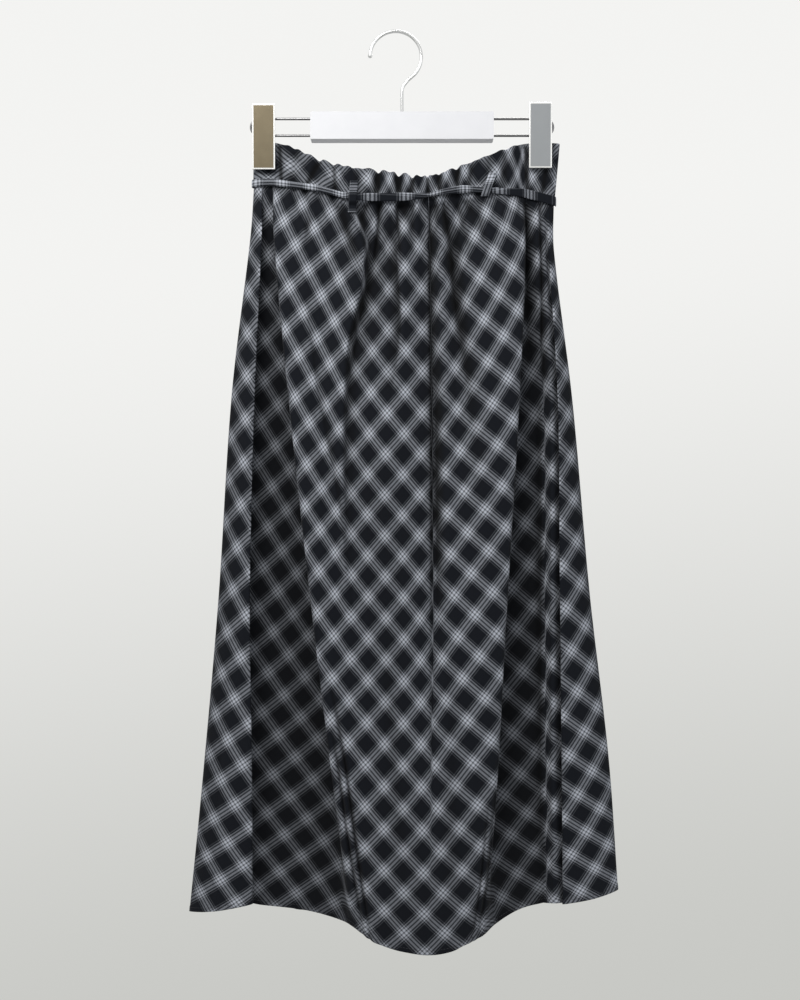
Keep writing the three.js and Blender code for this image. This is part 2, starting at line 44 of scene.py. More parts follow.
# ---- sizes, in millimetres; the large ones are the solids' own ---------------------------------
HANGER_X = 6.6                # middle of the hanger, to the side of the hook's crown
SKIRT_LENGTH = 745            # below the waistband
PANEL_CLOTH = 0.7             # thickness of the woven cloth
PANEL_DENSITY = 2.6           # columns of the mesh for each column of the fold tables
BAND_DENSITY = 2.9            # the same for the waistband
BELT_DENSITY = 1.6            # and for the belt
BAND_THICK = 2.2              # padded look of the elastic casing
SEAM_GAP = 0.3
GATHER_PITCH = 11.8
GATHER_DEPTH = 1.6
GATHER_FADE = 0.055           # share of the skirt's length over which the gathers die out
GATHER_WANDER = [(0.9, 23), (0.5, 9.1)]   # swings of the gathers' places, each with its length
HEM_DEPTH = 5                 # turned hem
HEM_RISE = 0.35               # how far the turned hem stands proud
HEM_STEP = 0.6                # width of the step up to it
CREASE_END = 12               # a crease fades out this far past its last point
BELT_WIDTH = 7
BELT_THICK = 1.2
BELT_CLEAR = 0.5
BELT_BACK_HALF = 3.6          # half height behind
BELT_BACK_CHECK = 0.2         # place of its middle in the check, behind
BELT_ROUNDING = 0.6           # power: 1 is an oval, and less is squarer
LOOP_WIDTH = 8
LOOP_THICK = 0.9
LOOP_EASE = 1.5               # a loop runs straight this far past the belt
LOOP_KNEE = 4                 # and comes down on the cloth over this length
LOOP_MARGIN = 1.5             # looked at on both sides for what a loop has to clear
LOOP_ARCH = 0.35
LOOP_EDGE = 0.25
STITCH = {"pitch": 3.1, "length": 2.1, "thick": 0.3, "flatness": 0.6, "above_cloth": 0.38, "in_hem": 0.8}
BAND_RIGHT_FLARE = 5.5        # the band's top corner stands out this far at the right
BAND_RIGHT_X = (120, 156)
BAND_FRONT_GATHER = 0.55      # of the gathers' depth; the folds below do the rest
BAND_TOP_DEPTH = 0.85         # the top edge is this much flatter than the seam
BAND_FLAT_LEVEL = 0.68        # from here down the band takes the seam's full depth
CLIP_FLAT_Y = 1.5             # the clips press the band to this depth, over this stretch
CLIP_FLAT_X = (112, 126)

BAR = {"width": 188, "height": 28, "middle_z": -97.2}
ROD = {"radius": 1.3, "spacing": 17.2, "half_span": 155.5, "socket": 14, "straight": 12}
HOOK = {"wire": 1.7, "radius": 26.5, "tip": 176, "neck": -38, "ball": 1.35}
HOOK_NECK = [(5.6, -49.4), (0.8, -56), (0, -62)]   # across and up, between the round and the stem
WIRE_SIDES = 18
CLIP = {"x": 141.7, "width": 23.5, "height": 66.5, "cover": 2, "cover_top_y": -9.4, "cover_low_y": -6.8}
CLIP_RIM = 1.5                # bright edge around the flat face
CLIP_CORNER = 0.7
CLIP_FACE = 0.5               # thickness of the flat face
CLIP_FACE_CORNER = 0.15
CLIP_FACE_SUNK = 0.15         # its middle, behind the cover's front
CLIP_LEFT_TOP = -76
CLIP_RIGHT_TOP = -74.5

# ---- painted shade and highlight on the cloth, from 0 to 1; lengths in millimetres -------------
SHELTER_SLOPE = 0.35          # a fold's painted shade falls on what lies behind it out to this slope
HOLLOW_SHADE = 0.70           # painted shade of a fold far behind its neighbours
HOLLOW_DEPTH = 8              # behind its neighbours, for most of the painted shade in a fold
RIDGE_LIGHT = 0.4             # share of the painted shade that a millimetre of a pressed ridge takes away, as a painted highlight
CREASE_SHADE = 0.20           # painted shade for each millimetre of a pressed valley
DEEPEST_SHADE = 0.9           # deepest painted shade of a pressed valley
SEAM_SHADE = 0.55             # painted shadow right under the waistband
SEAM_SHADE_FADE = 0.012       # share of the skirt's length over which it dies out
HEM_SHADE = 0.20              # painted shade where the middle of the front turns away from the light
HEM_SHADE_X = 18
HEM_SHADE_HALF = 75
HEM_SHADE_FROM = 0.74         # shares of the skirt's length
HEM_SHADE_TO = 0.92

# ---- cloth and finish --------------------------------------------------------------------------
CHECK_PERIOD = 0.0295         # metres of cloth
YARN_WIDTH = 0.00034          # metres
DARK_YARN = (0.0052, 0.0066, 0.0100, 1)
LIGHT_YARN = (0.51, 0.54, 0.60, 1)
DARKEST_FOLD = 0.08           # share of its colour that the cloth keeps in the deepest painted shade
BUMP_DISTANCE = 0.0002        # metres
POLISH_SPREAD = 0.04          # of a metal's roughness
BIAS = 45                     # degrees that the yarns are turned on the cut
TUCK_HOLD = 0.3               # how firmly the cloth hidden in a fold keeps its run
SOLVER_STEPS = 2500

# ---- camera ------------------------------------------------------------------------------------
VIEW_DISTANCE = 1.250
VIEW_X = 0.0045
VIEW_Z = -0.481
PICTURE_HEIGHT_AT_HANGER = 1.030


def add_camera():
    data = bpy.data.cameras.new("view")
    data.sensor_fit = "VERTICAL"
    data.sensor_height = 36
    data.lens = 36 * VIEW_DISTANCE / PICTURE_HEIGHT_AT_HANGER
    data.clip_end = 30
    camera = bpy.data.objects.new("view", data)
    camera.location = (VIEW_X, -VIEW_DISTANCE, VIEW_Z)
    camera.rotation_euler = (math.radians(90), 0, 0)
    bpy.context.scene.collection.objects.link(camera)
    bpy.context.scene.camera = camera


add_camera()

# ---- tables of the garment, in millimetres from the middle of the hanger ---------------------------
# Waist: x, height of the top edge, height of the seam.
WAIST = [
    (-156, -114, -156), (-134, -114, -155.5), (-111, -120.5, -159), (-90, -131, -162.5),
    (-58, -141, -171.5), (-31, -144.5, -174), (0, -149, -173.5), (20, -151.5, -172.5),
    (45, -146, -167), (87, -129.5, -163.5), (104, -122.5, -164), (128, -115.5, -167.5),
    (156, -115, -174),
]

# Shares of the length of the stations in the fold tables.
STATIONS = [0, 0.07, 0.29, 0.57, 0.81, 1]

# Fold lines: name, hem height, columns up to the next line, gather strength,
# x at the stations, y at the stations. The sides are those of the front, and the back mirrors them.
SIDE_LEFT = [
    ("side_left", -903, 2, 0, (-152, -155.5, -175, -188.5, -204, -218), (-0.15,) * 6),
    ("side_left_turn", -902.5, 3, 0, (-151.6, -155, -174.2, -187.6, -203, -217), (-1.5, -3, -4, -5, -6, -6)),
]
SIDE_RIGHT = [
    ("side_right_turn", -880.5, 2, 0, (155.4, 155.6, 174.3, 191.8, 211, 220.5), (-1.5, -2.6, -4, -5, -6, -6)),
    ("side_right", -880, 0, 0, (156, 156, 175, 192.6, 212, 221.5), (-0.15,) * 6),
]


def behind(rows):
    return [(*row[:5], tuple(-y for y in row[5])) for row in rows]


FRONT = [
    *SIDE_LEFT,
    ("flap_left", -897, 3, 0.1,
     (-148, -149, -162, -171.5, -178, -186), (-3.2, -9, -14, -18, -22, -22)),
    ("flap_left_edge", -889.5, 2, 0.2,
     (-144.5, -143.4, -149.6, -154, -151.8, -151.7), (-3.8, -11, -19, -24, -26, -22)),
    ("flap_left_under", -891, 2, 0.1,
     (-142.6, -146, -156, -161, -158, -155), (-3.4, -4, -9, -12, -13, -14)),
    ("recess_left_start", -895.5, 2, 0.1,
     (-140, -140.5, -146, -150, -148, -146), (-3.2, -1.6, -2, -3, -4, -6)),
    ("recess_left", -900, 2, 0.2,
     (-137.5, -136.5, -132, -123.5, -110, -98), (-3.4, -1.8, -1.6, -2, -6, -10)),
    ("recess_left_end", -905.5, 2, 0.2,
     (-134.5, -130, -112.5, -88.5, -66.5, -60), (-3.6, -3, -4, -6, -13, -24)),
    ("main_left_edge", -907.5, 7, 0.3,
     (-131, -130.4, -114.7, -91.3, -68.9, -49), (-4.2, -13, -24, -32, -38, -36)),
    ("main_left", -915, 8, 1,
     (-110, -104, -95, -75, -56.5, -36), (-7, -15.5, -29, -37, -43, -44)),
    ("main_left_valley", -919.5, 9, 1,
     (-86, -80, -81, -64, -44, -28), (-10, -15, -26, -35, -43, -47)),
    ("pleat_edge", -921.5, 2, 1,
     (-58.7, -38.5, -60, -54, -34, -20), (-13, -20, -31, -38, -45.5, -49.5)),
    ("pleat_foot", -923.5, 14, 1,
     (-52.5, -33, -54, -47, -26, -13), (-13.4, -13, -25, -36, -46, -51)),
    ("centre_ridge", -926, 10, 1,
     (-6, -5, -10, -7, -2, 0), (-15.5, -18, -31, -41, -49, -54)),
    ("centre_valley", -928.7, 4, 1,
     (26, 27.6, 29.4, 30, 27.7, 25.6), (-14.6, -10, -20, -35, -49, -56)),
    ("narrow_ridge", -925.6, 6, 1,
     (37, 39.6, 43.3, 45, 47.5, 49.3), (-14, -18, -30, -40, -50, -55)),
    ("right_valley", -921.3, 4, 1,
     (54.6, 55.2, 56.5, 59.8, 60.5, 60), (-12.6, -9.5, -26, -40, -49, -52)),
    ("main_right", -918.5, 18, 1,
     (66, 66, 73.3, 75.7, 73.3, 69.4), (-11.6, -18, -32, -42, -48, -48)),
    ("main_right_edge", -914.5, 2, 0.3,
     (124, 125.3, 117.4, 104, 93.6, 81), (-5, -14, -27, -36, -41, -40)),
    ("recess_right_start", -908.6, 2, 0.2,
     (128, 125.8, 115.2, 101.5, 91.5, 93), (-4.2, -4.5, -7, -9, -14, -27)),
    ("recess_right", -897.4, 3, 0.2,
     (132, 131.5, 131.5, 129.4, 124.9, 120.3), (-4, -3, -3, -4, -7, -13)),
    ("recess_right_ridge", -892.5, 2, 0.2,
     (140, 138.4, 145, 146, 146.6, 147.2), (-3.8, -8, -4, -5, -6, -10)),
    ("strip_right", -890, 2, 0.1,
     (144.5, 146, 152.5, 152.8, 153.6, 155.3), (-3.4, -5.5, -12, -14, -15, -17)),
    ("flap_right_under", -892, 2, 0.1,
     (147.2, 148.6, 162.7, 165.7, 167.7, 167.3), (-3, -4, -7, -8.5, -9, -11.5)),
    ("flap_right_edge", -890.5, 3, 0.1,
     (149.6, 150.8, 158.6, 160.3, 162, 163.2), (-3, -7.5, -16, -19, -21, -20)),
    ("flap_right", -886.5, 3, 0,
     (152.4, 153.2, 167.7, 177.3, 189.3, 193.2), (-2.6, -5.5, -11, -15, -17, -17)),
    *SIDE_RIGHT,
]

BACK = [
    *behind(SIDE_LEFT),
    ("back_1", -899, 7, 0.3, (-142, -143, -152, -160, -168, -176), (3, 6, 12, 14, 14, 12)),
    ("back_2", -899, 8, 1, (-116, -118, -124, -130, -134, -140), (5, 10, 18, 22, 24, 26)),
    ("back_3", -905, 8, 1, (-90, -92, -96, -100, -104, -110), (8, 9, 12, 12, 10, 8)),
    ("back_4", -912, 8, 1, (-62, -64, -66, -70, -74, -80), (11, 14, 20, 24, 26, 28)),
    ("back_5", -918, 8, 1, (-34, -35, -36, -38, -40, -44), (13, 13, 15, 16, 14, 12)),
    ("back_6", -922, 8, 1, (-5, -5, -4, -4, -2, 0), (14, 16, 22, 26, 28, 30)),
    ("back_7", -922, 8, 1, (24, 25, 27, 28, 30, 32), (13, 13, 15, 15, 14, 12)),
    ("back_8", -915, 8, 1, (52, 54, 58, 62, 66, 72), (12, 14, 20, 24, 26, 27)),
    ("back_9", -900, 8, 1, (82, 85, 92, 98, 104, 110), (9, 10, 12, 12, 10, 9)),
    ("back_10", -893, 8, 1, (112, 116, 124, 132, 140, 146), (5, 9, 18, 22, 24, 25)),
    ("back_11", -885, 3, 0.3, (142, 144, 156, 168, 182, 188), (3, 6, 11, 13, 12, 11)),
    *behind(SIDE_RIGHT),
]

# How the flat cloth runs over the front: x, then at each height its length across for 1 mm of
# surface across (more than 1 where small folds take it up), its shift across for 1 mm down, and
# its shift down for 1 mm across.
RUN_HEIGHTS = [-898, -764, -625, -486, -346, -220]
FRONT_RUN = [
    (-215, (1, 1, 1, 1, 1, 1), (0.22, 0.20, 0.20, 0.20, 0.20, 0.20), (-0.2,) * 6),
    (-140, (1, 1, 1.10, 1.20, 1.2, 1.1), (0.14, 0.14, 0.15, 0.19, 0.20, 0.2),
     (-0.15, -0.12, -0.15, -0.2, -0.25, -0.2)),
    (-112, (1, 0.95, 1.2, 1.35, 1.3, 1.15), (0.13, 0.12, 0.15, 0.17, 0.14, 0.2),
     (-0.20, -0.05, -0.10, -0.20, -0.30, -0.20)),
    (-92, (1, 1, 1.22, 1.35, 1.3, 1.1), (0.13, 0.13, 0.10, 0.10, 0.12, 0.18),
     (-0.22, -0.05, -0.10, -0.18, -0.30, -0.26)),
    (-62, (0.95, 1.1, 1.26, 1.40, 1.33, 1.1), (0.09, 0.07, 0.04, 0.03, 0.22, 0.25),
     (-0.25, -0.03, -0.10, -0.12, -0.24, -0.35)),
    (-32, (1.02, 1.1, 1.22, 1.25, 1.33, 1.1), (0.02, 0.06, 0.02, 0.01, 0.16, 0.22),
     (-0.15, 0.02, 0, -0.05, -0.04, -0.20)),
    (0, (1.02, 1.12, 1.30, 1.2, 1.25, 1.05), (0.01, 0.03, 0.02, 0.02, 0.02, 0),
     (-0.06, 0, -0.03, 0, 0.07, 0.05)),
    (28, (1.03, 1.15, 1.45, 1.1, 1.2, 1.04), (-0.02, -0.04, -0.02, -0.05, 0, -0.1),
     (0.02, 0.04, 0.07, 0.05, 0.07, 0.12)),
    (58, (1.03, 1.05, 1.18, 1.1, 1.3, 1), (-0.04, -0.08, -0.07, -0.12, -0.12, -0.22),
     (0.12, 0.08, 0.06, 0.09, 0.10, 0.15)),
    (88, (1.05, 0.98, 1.10, 1.08, 1.2, 1.12), (-0.05, -0.08, -0.10, -0.12, -0.28, -0.32),
     (0.25, 0, 0.05, 0.13, 0.27, 0.28)),
    (115, (1.05, 1, 1, 1.07, 1.16, 1.12), (-0.10, -0.12, -0.12, -0.13, -0.25, -0.33),
     (0.30, -0.1, 0, 0.16, 0.28, 0.35)),
    (145, (1, 1, 1, 1, 1.1, 1.1), (-0.20, -0.22, -0.2, -0.15, -0.18, -0.2),
     (0.2, 0.1, 0.1, 0.18, 0.25, 0.3)),
    (215, (1,) * 6, (-0.30, -0.30, -0.25, -0.20, -0.20, -0.20), (0.2,) * 6),
]
RUN_DROP = [1.10, 1.0, 0.98, 0.99, 0.96, 0.95]      # its length down for 1 mm down, at the heights

# Cloth hidden in a fold, next to the named line: columns that hide it, then across and down at
# the stations.
FRONT_TUCKS = {
    "flap_left_edge": (5, (0, 0, 0, 8, 8, 7), (0, 2, 5, 10, 14, 15)),
    "recess_left_end": (5, (10, 10, 10, -5, -6, -5), (-5, -5, -5, -9, -11, -12)),
    "pleat_edge": (4, (13.5, 13.5, 0, 0, 0, 0), (0,) * 6),
    "centre_valley": (1, (42, 42, 42, 16, 2, 0), (0,) * 6),
    "main_right_edge": (5, (-13,) * 6, (-3,) * 6),
    "recess_right_ridge": (1, (0, 0, 6, 9, 9, 9), (0, 0, 4, 7, 7, 7)),
    "flap_right_under": (5, (0,) * 6, (0, 0, 6, 6, 6, 6)),
}
BACK_RUN = [
    (-215, (1.0,) * 6, (0.18,) * 6, (-0.18,) * 6),
    (-110, (1.0, 1.05, 1.15, 1.2, 1.2, 1.15), (0.12,) * 6, (-0.1, -0.1, -0.1, -0.15, -0.2, -0.22)),
    (0, (1.0, 1.05, 1.15, 1.2, 1.2, 1.1), (0.0,) * 6, (0.0,) * 6),
    (110, (1.0, 1.05, 1.15, 1.2, 1.2, 1.15), (-0.12,) * 6, (0.1, 0.1, 0.1, 0.15, 0.2, 0.22)),
    (215, (1.0,) * 6, (-0.18,) * 6, (0.18,) * 6),
]

# Creases pressed into a panel: half width to the left and to the right, then x, height and depth
# along each; a negative depth stands proud.
# The depth also sets the painted shade along a valley and the painted highlight along a ridge.
FRONT_CREASES = [
    (1.6, 9, [(-42, -205, 1.0), (-34, -236, 4.0), (-37, -262, 5.0), (-46, -292, 5.0), (-53, -320, 4.2),
              (-56, -360, 3.0), (-57, -430, 2.4), (-56, -520, 1.6), (-54, -600, 0)]),
    (13, 12, [(-20, -200, 0), (-21, -225, 1.8), (-26, -280, 2.0), (-33, -330, 1.0), (-40, -370, 0)]),
    (10, 1.6, [(-7, -188, 0), (-6.5, -212, 3.4), (-4.5, -250, 4.4), (-2, -300, 4.0), (-6, -340, 2.6),
               (-14, -390, 0)]),
    (1.8, 4.2, [(28, -180, 3.0), (28.5, -205, 4.6), (29.2, -300, 4.6), (29.8, -400, 4.2), (30, -520, 3.8),
                (29.5, -620, 2.6), (28.5, -720, 1.6), (28, -780, 0)]),
    (3.4, 5.0, [(34, -310, 0), (35, -380, 4.0), (35, -470, 5.0), (35.5, -550, 4.0), (36, -650, 0)]),
    (6.0, 6.0, [(17, -330, 0), (16.5, -420, -1.1), (15.5, -560, -1.4), (14.5, -680, -0.8), (14, -760, 0)]),
    (3.4, 8.0, [(45, -186, 1.0), (48, -215, 4.4), (52, -262, 5.0), (59, -310, 4.4), (67, -365, 3.0),
                (73, -430, 1.4), (77, -500, 0)]),
    (7.0, 5.0, [(-62, -180, 3.0), (-57, -204, 4.6), (-49, -228, 4.2), (-42, -252, 2.0), (-38, -262, 0)]),
    (30, 26, [(-22, -400, 0), (-20, -480, 0.9), (-16, -620, 1.0), (-12, -760, 0.6), (-10, -860, 0)]),
    (2.6, 3.6, [(-95, -182, 0), (-96, -200, 3.0), (-99, -232, 0)]),
    (2.2, 3.4, [(-24, -178, 4.0), (-24, -196, 5.0), (-26, -216, 4.6), (-29, -240, 3.0), (-33, -262, 0)]),
    (2.0, 2.6, [(-5, -178, 4.0), (-5, -196, 5.0), (-3, -222, 3.6), (-2, -252, 0)]),
    (2.6, 2.4, [(11, -178, 3.0), (10, -200, 2.6), (12, -238, 0)]),
    (3.4, 5.0, [(42, -178, 4.0), (45, -198, 5.0), (51, -224, 4.0), (54, -262, 0)]),
    (7.0, 4.0, [(-38, -178, 4.0), (-40, -194, 4.0), (-38, -216, 0)]),
    (7.0, 5.0, [(2, -178, 4.0), (4, -190, 3.6), (6, -206, 0)]),
    (5.0, 5.0, [(34, -178, 4.0), (36, -190, 3.4), (38, -206, 0)]),
    (6.0, 8.0, [(66, -174, 4.0), (70, -188, 3.2), (76, -208, 0)]),
    (2.4, 3.4, [(77, -174, 2.0), (80, -200, 2.8), (86, -240, 0)]),
    (2.8, 4.4, [(57, -178, 3.0), (62, -202, 3.6), (70, -240, 0)]),
    (2.4, 2.4, [(103, -176, 0), (104, -196, 1.6), (106, -226, 0)]),
    (1.4, 4.6, [(-99, -262, 0), (-94, -300, 1.2), (-85, -371, 2.0), (-73, -430, 2.4), (-62, -490, 2.0),
                (-54, -550, 0.9), (-48, -600, 0)]),
    (1.6, 2.4, [(-74, -655, 0), (-67, -688, 2.4), (-56, -751, 4.0), (-47.5, -815, 4.2), (-39.5, -870, 3.6),
                (-30, -925, 1.2)]),
    (1.8, 1.6, [(-72, -700, 0), (-64, -745, 3.0), (-56, -805, 3.6), (-47, -862, 3.2), (-37, -918, 1.0)]),
    (2.0, 2.0, [(-68, -700, 0), (-60, -748, -0.8), (-51.5, -810, -1.0), (-43, -866, -1.0),
                (-34, -915, -0.6)]),
    (2.0, 2.6, [(95, -740, 0), (90, -800, 3.0), (85, -860, 4.0), (77, -905, 2.4), (74, -918, 1.2)]),
    (1.8, 1.8, [(88, -770, 0), (83, -810, 2.0), (78, -860, 3.2), (71, -908, 2.0), (68, -920, 1.0)]),
    (2.6, 5.0, [(146, -352, 0), (147, -400, -2.4), (147.5, -600, -2.8), (148, -780, -2.8),
                (150, -885, -1.8)]),
    (5.0, 6.0, [(152, -352, 0), (153, -400, -2.0), (153.5, -600, -2.4), (154, -780, -2.4),
                (156, -885, -1.6)]),
    (4.0, 1.2, [(141, -360, 0), (142, -420, 2.6), (142.5, -600, 3.0), (143, -780, 2.8), (145, -885, 1.2)]),
    (1.6, 2.4, [(141.5, -176, 3.0), (142, -215, 4.6), (143, -260, 4.6), (143.5, -320, 4.6), (145, -352, 3.0),
                (146, -382, 0)]),
    (3.0, 3.0, [(-33, -300, 0), (-37, -360, -0.9), (-44, -420, -1.2), (-52, -500, 0)]),
    (8.0, 8.0, [(80, -380, 0), (84, -480, -1.2), (82, -620, -1.2), (74, -760, 0)]),
    (9.0, 7.0, [(-20, -560, 0), (-12, -680, 1.8), (-4, -800, 1.6), (2, -880, 0)]),
    (7.0, 7.0, [(48, -620, 0), (50, -720, 1.6), (49, -840, 1.4), (46, -900, 0)]),
    (5.0, 5.0, [(-4, -420, 0), (-6, -500, 0.9), (-2, -600, 0.8), (2, -680, 0)]),
    (2.4, 4.6, [(126.5, -176, 4.0), (127.5, -215, 5.0), (128, -260, 5.0), (128.5, -310, 3.6),
                (130, -350, 1.4), (131, -380, 0)]),
    (2.0, 2.0, [(-168, -540, 0), (-176, -640, 0.7), (-184, -740, 0.8), (-192, -850, 0.6), (-196, -905, 0.4)]),
]
BACK_CREASES = [
    (2.0, 4.0, [(-98, -186, 0), (-97, -225, 3.0), (-96, -300, 2.2), (-95, -390, 0)]),
    (2.6, 2.6, [(-60, -184, 0), (-60, -205, 2.2), (-61, -250, 0)]),
    (1.4, 4.0, [(-34, -184, 0), (-34, -215, 3.0), (-36, -320, 2.6), (-37, -460, 1.6), (-38, -600, 0)]),
    (2.4, 2.4, [(-5, -184, 0), (-5, -205, 2.0), (-4, -245, 0)]),
    (4.4, 1.6, [(26, -184, 0), (26, -220, 3.2), (27, -290, 2.6), (29, -370, 0)]),
    (2.4, 2.6, [(54, -182, 0), (54, -206, 2.4), (55, -255, 0)]),
    (4.0, 2.0, [(86, -184, 0), (88, -230, 2.8), (92, -320, 2.2), (96, -440, 0)]),
    (7.0, 7.0, [(-70, -480, 0), (-74, -600, -1.0), (-78, -760, -1.0), (-82, -880, 0)]),
    (6.0, 6.0, [(60, -420, 0), (64, -560, -1.1), (68, -700, -0.9), (70, -820, 0)]),
    (2.2, 2.8, [(4, -640, 0), (6, -740, 1.8), (9, -840, 2.4), (12, -918, 1.8)]),
    (6.0, 6.0, [(-20, -420, 0), (-22, -560, 1.2), (-24, -700, 0)]),
]

CREASES = {-1: FRONT_CREASES, 1: BACK_CREASES}

# Belt loops: name, x, how far they reach below the seam, how far the top end lies to the right, and
# their place in the check.
LOOP_ABOVE = 17               # reach above the seam
LOOPS = {
    -1: [
        ("belt_loop_front_left", -50, 16, 1, (0.38, 0.82)),
        ("belt_loop_front_right", 87, 8, 6, (0.05, 0.9)),
    ],
    1: [
        ("belt_loop_back_left", -70, 12, 0, (0.3, 0.5)),
        ("belt_loop_back_right", 76, 12, 0, (0.1, 0.2)),
    ],
}

# ---- check, belt and band tables -----------------------------------------------------------------
# Lines of one set of yarns, from the middle of the light band (0) to the middle of the dark
# square (0.5): place as a share of the check, share of light yarn.
STRIPE = [
    (0.000, 0.30), (0.018, 0.32), (0.030, 0.98), (0.090, 1.00), (0.102, 0.32), (0.142, 0.24),
    (0.152, 0.80), (0.184, 0.80), (0.194, 0.07), (0.228, 0.04), (0.236, 0.36), (0.262, 0.36),
    (0.270, 0.02), (0.296, 0.00), (0.500, 0.00),
]
SINGLE_STRIPE = 1.6           # power: a stripe of one set alone looks this much weaker than a crossing

# Folds pressed into the front of the band: x at the top edge, x at the seam, depth, half width.
BAND_FOLDS = [
    (-126, -124, 1.8, 2.5), (-107, -113, 0.8, 5), (-84.5, -98, 1.8, 3), (-69.7, -68, 1.5, 3),
    (-47, -45, 0.9, 4), (-24, -27, 2.8, 2.8), (-4, -3, 3.0, 3.0), (11, 9, 2.4, 2.3),
    (25.7, 27, 2.2, 1.7), (37.7, 39, 2.6, 2.5), (56, 57, 1.8, 2.6), (71, 68, 1.3, 3),
    (88, 91, 0.9, 4), (106, 103, 1.1, 4), (127, 129, 1.8, 2.5), (153, 143, 1.4, 3),
]

# Where the light crossings of the check lie on the front of the band: x, checks from the left.
BAND_CROSSINGS = [
    (-158, -0.9), (-111, 0), (-70, 1), (-31.5, 2), (-13, 3), (5, 4), (25.5, 5), (45, 6),
    (64, 7), (95.5, 8), (115, 9), (132.5, 10), (158, 11),
]
BAND_CROSSING_HEIGHT = 20     # above the seam
BAND_BACK_SLACK = 1.9         # cloth gathered into each length of the back
BAND_ROWS = 24                # of the mesh, down its outside
BAND_SHADE = 0.58             # painted shade for each millimetre of a pressed fold
BAND_EDGE_RISE = 0.9          # how far a gather lifts the top edge, for each millimetre outwards

# Belt in front: x, half height, place of its middle in the check.
BELT_SHAPE = [
    (-158, 4.2, 0.10), (-120, 3.5, 0.12), (-90, 3.1, 0.13), (-60, 2.9, 0.15), (-45, 3.3, 0.30),
    (-30, 4.1, 0.37), (0, 4.2, 0.30), (18, 3.0, 0.22), (27, 1.9, 0.17), (38, 2.4, 0.17),
    (60, 4.2, 0.20), (85, 2.8, 0.18), (100, 3.2, 0.32), (125, 4.6, 0.42), (158, 5.0, 0.42),
]
# Light bands across the belt: x, checks from the first.
BELT_BANDS = [(-158, -1.25), (-121.4, 0), (-92.8, 1), (-63, 2), (3, 4), (64, 6), (130.6, 8), (158, 8.9)]


# ---- form of the cloth -----------------------------------------------------------------------------
def through(knots, values, at):
    """Smooth curve through values (last axis follows the knots) at one place."""
    knots = np.asarray(knots, float)
    values = np.asarray(values, float)
    last = len(knots) - 1
    i = int(np.clip(np.searchsorted(knots, at, side="right") - 1, 0, last - 1))

    def slope(k):
        low, high = max(k - 1, 0), min(k + 1, last)
        return (values[..., high] - values[..., low]) / (knots[high] - knots[low])

    span = knots[i + 1] - knots[i]
    t = (at - knots[i]) / span
    return (values[..., i] * (2 * t**3 - 3 * t**2 + 1) + slope(i) * span * (t**3 - 2 * t**2 + t)
            + values[..., i + 1] * (3 * t**2 - 2 * t**3) + slope(i + 1) * span * (t**3 - t**2))


WAIST_X = [row[0] for row in WAIST]
WAIST_TOP = [row[1] for row in WAIST]
WAIST_SEAM = [row[2] for row in WAIST]


def top_z(x):
    return through(WAIST_X, WAIST_TOP, x)


def seam_z(x):
    return through(WAIST_X, WAIST_SEAM, x)


def spline(points, places):
    """Centripetal curve through points, at places counted in points from the first."""
    ends = np.vstack([2 * points[0] - points[1], points, 2 * points[-1] - points[-2]])
    index = np.clip(places.astype(int), 0, len(points) - 2)
    t = (places - index)[:, None]
    p0, p1, p2, p3 = (ends[index + k] for k in range(4))

    def step(a, b):
        return np.sqrt(np.linalg.norm(b - a, axis=1))[:, None]

    d0, d1, d2 = step(p0, p1), step(p1, p2), step(p2, p3)
    t1 = ((p1 - p0) / d0 - (p2 - p0) / (d0 + d1) + (p2 - p1) / d1) * d1
    t2 = ((p2 - p1) / d1 - (p3 - p1) / (d1 + d2) + (p3 - p2) / d2) * d1
    return p1 + t1 * t + (-3 * p1 + 3 * p2 - 2 * t1 - t2) * t**2 + (2 * p1 - 2 * p2 + t1 + t2) * t**3


def level_points(table, level):
    x = through(STATIONS, [row[4] for row in table], level)
    y = through(STATIONS, [row[5] for row in table], level)
    start = np.array([seam_z(row[4][0]) for row in table])
    hem = np.array([row[1] for row in table])
    return np.stack([x, y, start + (hem - start) * level], axis=1)


def columns(table, density):
    """Place, gather strength and waist x of each column of the mesh."""
    place, gather, waist = [], [], []
    for index, row in enumerate(table[:-1]):
        following = table[index + 1]
        count = max(int(round(row[2] * density)), 3)
        for step in range(count):
            share = step / count
            place.append(index + share)
            gather.append(row[3] + (following[3] - row[3]) * share)
            waist.append(row[4][0] + (following[4][0] - row[4][0]) * share)
    place.append(len(table) - 1)
    gather.append(table[-1][3])
    waist.append(table[-1][4][0])
    return tuple(np.array(values, float) for values in (place, gather, waist))


def outward(points, side, closed=False):
    """Unit vectors out of a level line, level with the ground."""
    if closed:
        along = np.roll(points, -1, axis=0) - np.roll(points, 1, axis=0)
    else:
        along = np.gradient(points, axis=0)
    along[:, 2] = 0
    along /= np.linalg.norm(along, axis=1)[:, None]
    return np.stack([-along[:, 1] * side, along[:, 0] * side, np.zeros(len(points))], axis=1)


def gather_wave(x):
    phase = 2 * math.pi * x / GATHER_PITCH
    for swing, length in GATHER_WANDER:
        phase = phase + swing * np.sin(x / length)
    strength = 0.8 + 0.2 * np.sin(x / 17 + 1)
    return GATHER_DEPTH * strength * np.sin(phase)


def section(table, level, side, depth, cols):
    place, gather, waist = cols
    bare = spline(level_points(table, level), place)
    wave = gather_wave(waist) * gather * depth
    return bare + outward(bare, side) * wave[:, None]


# ---- meshes ----------------------------------------------------------------------------------------
def new_piece(name, bm):
    mesh = bpy.data.meshes.new(name)
    bm.to_mesh(mesh)
    bm.free()
    piece = bpy.data.objects.new(name, mesh)
    bpy.context.scene.collection.objects.link(piece)
    return piece


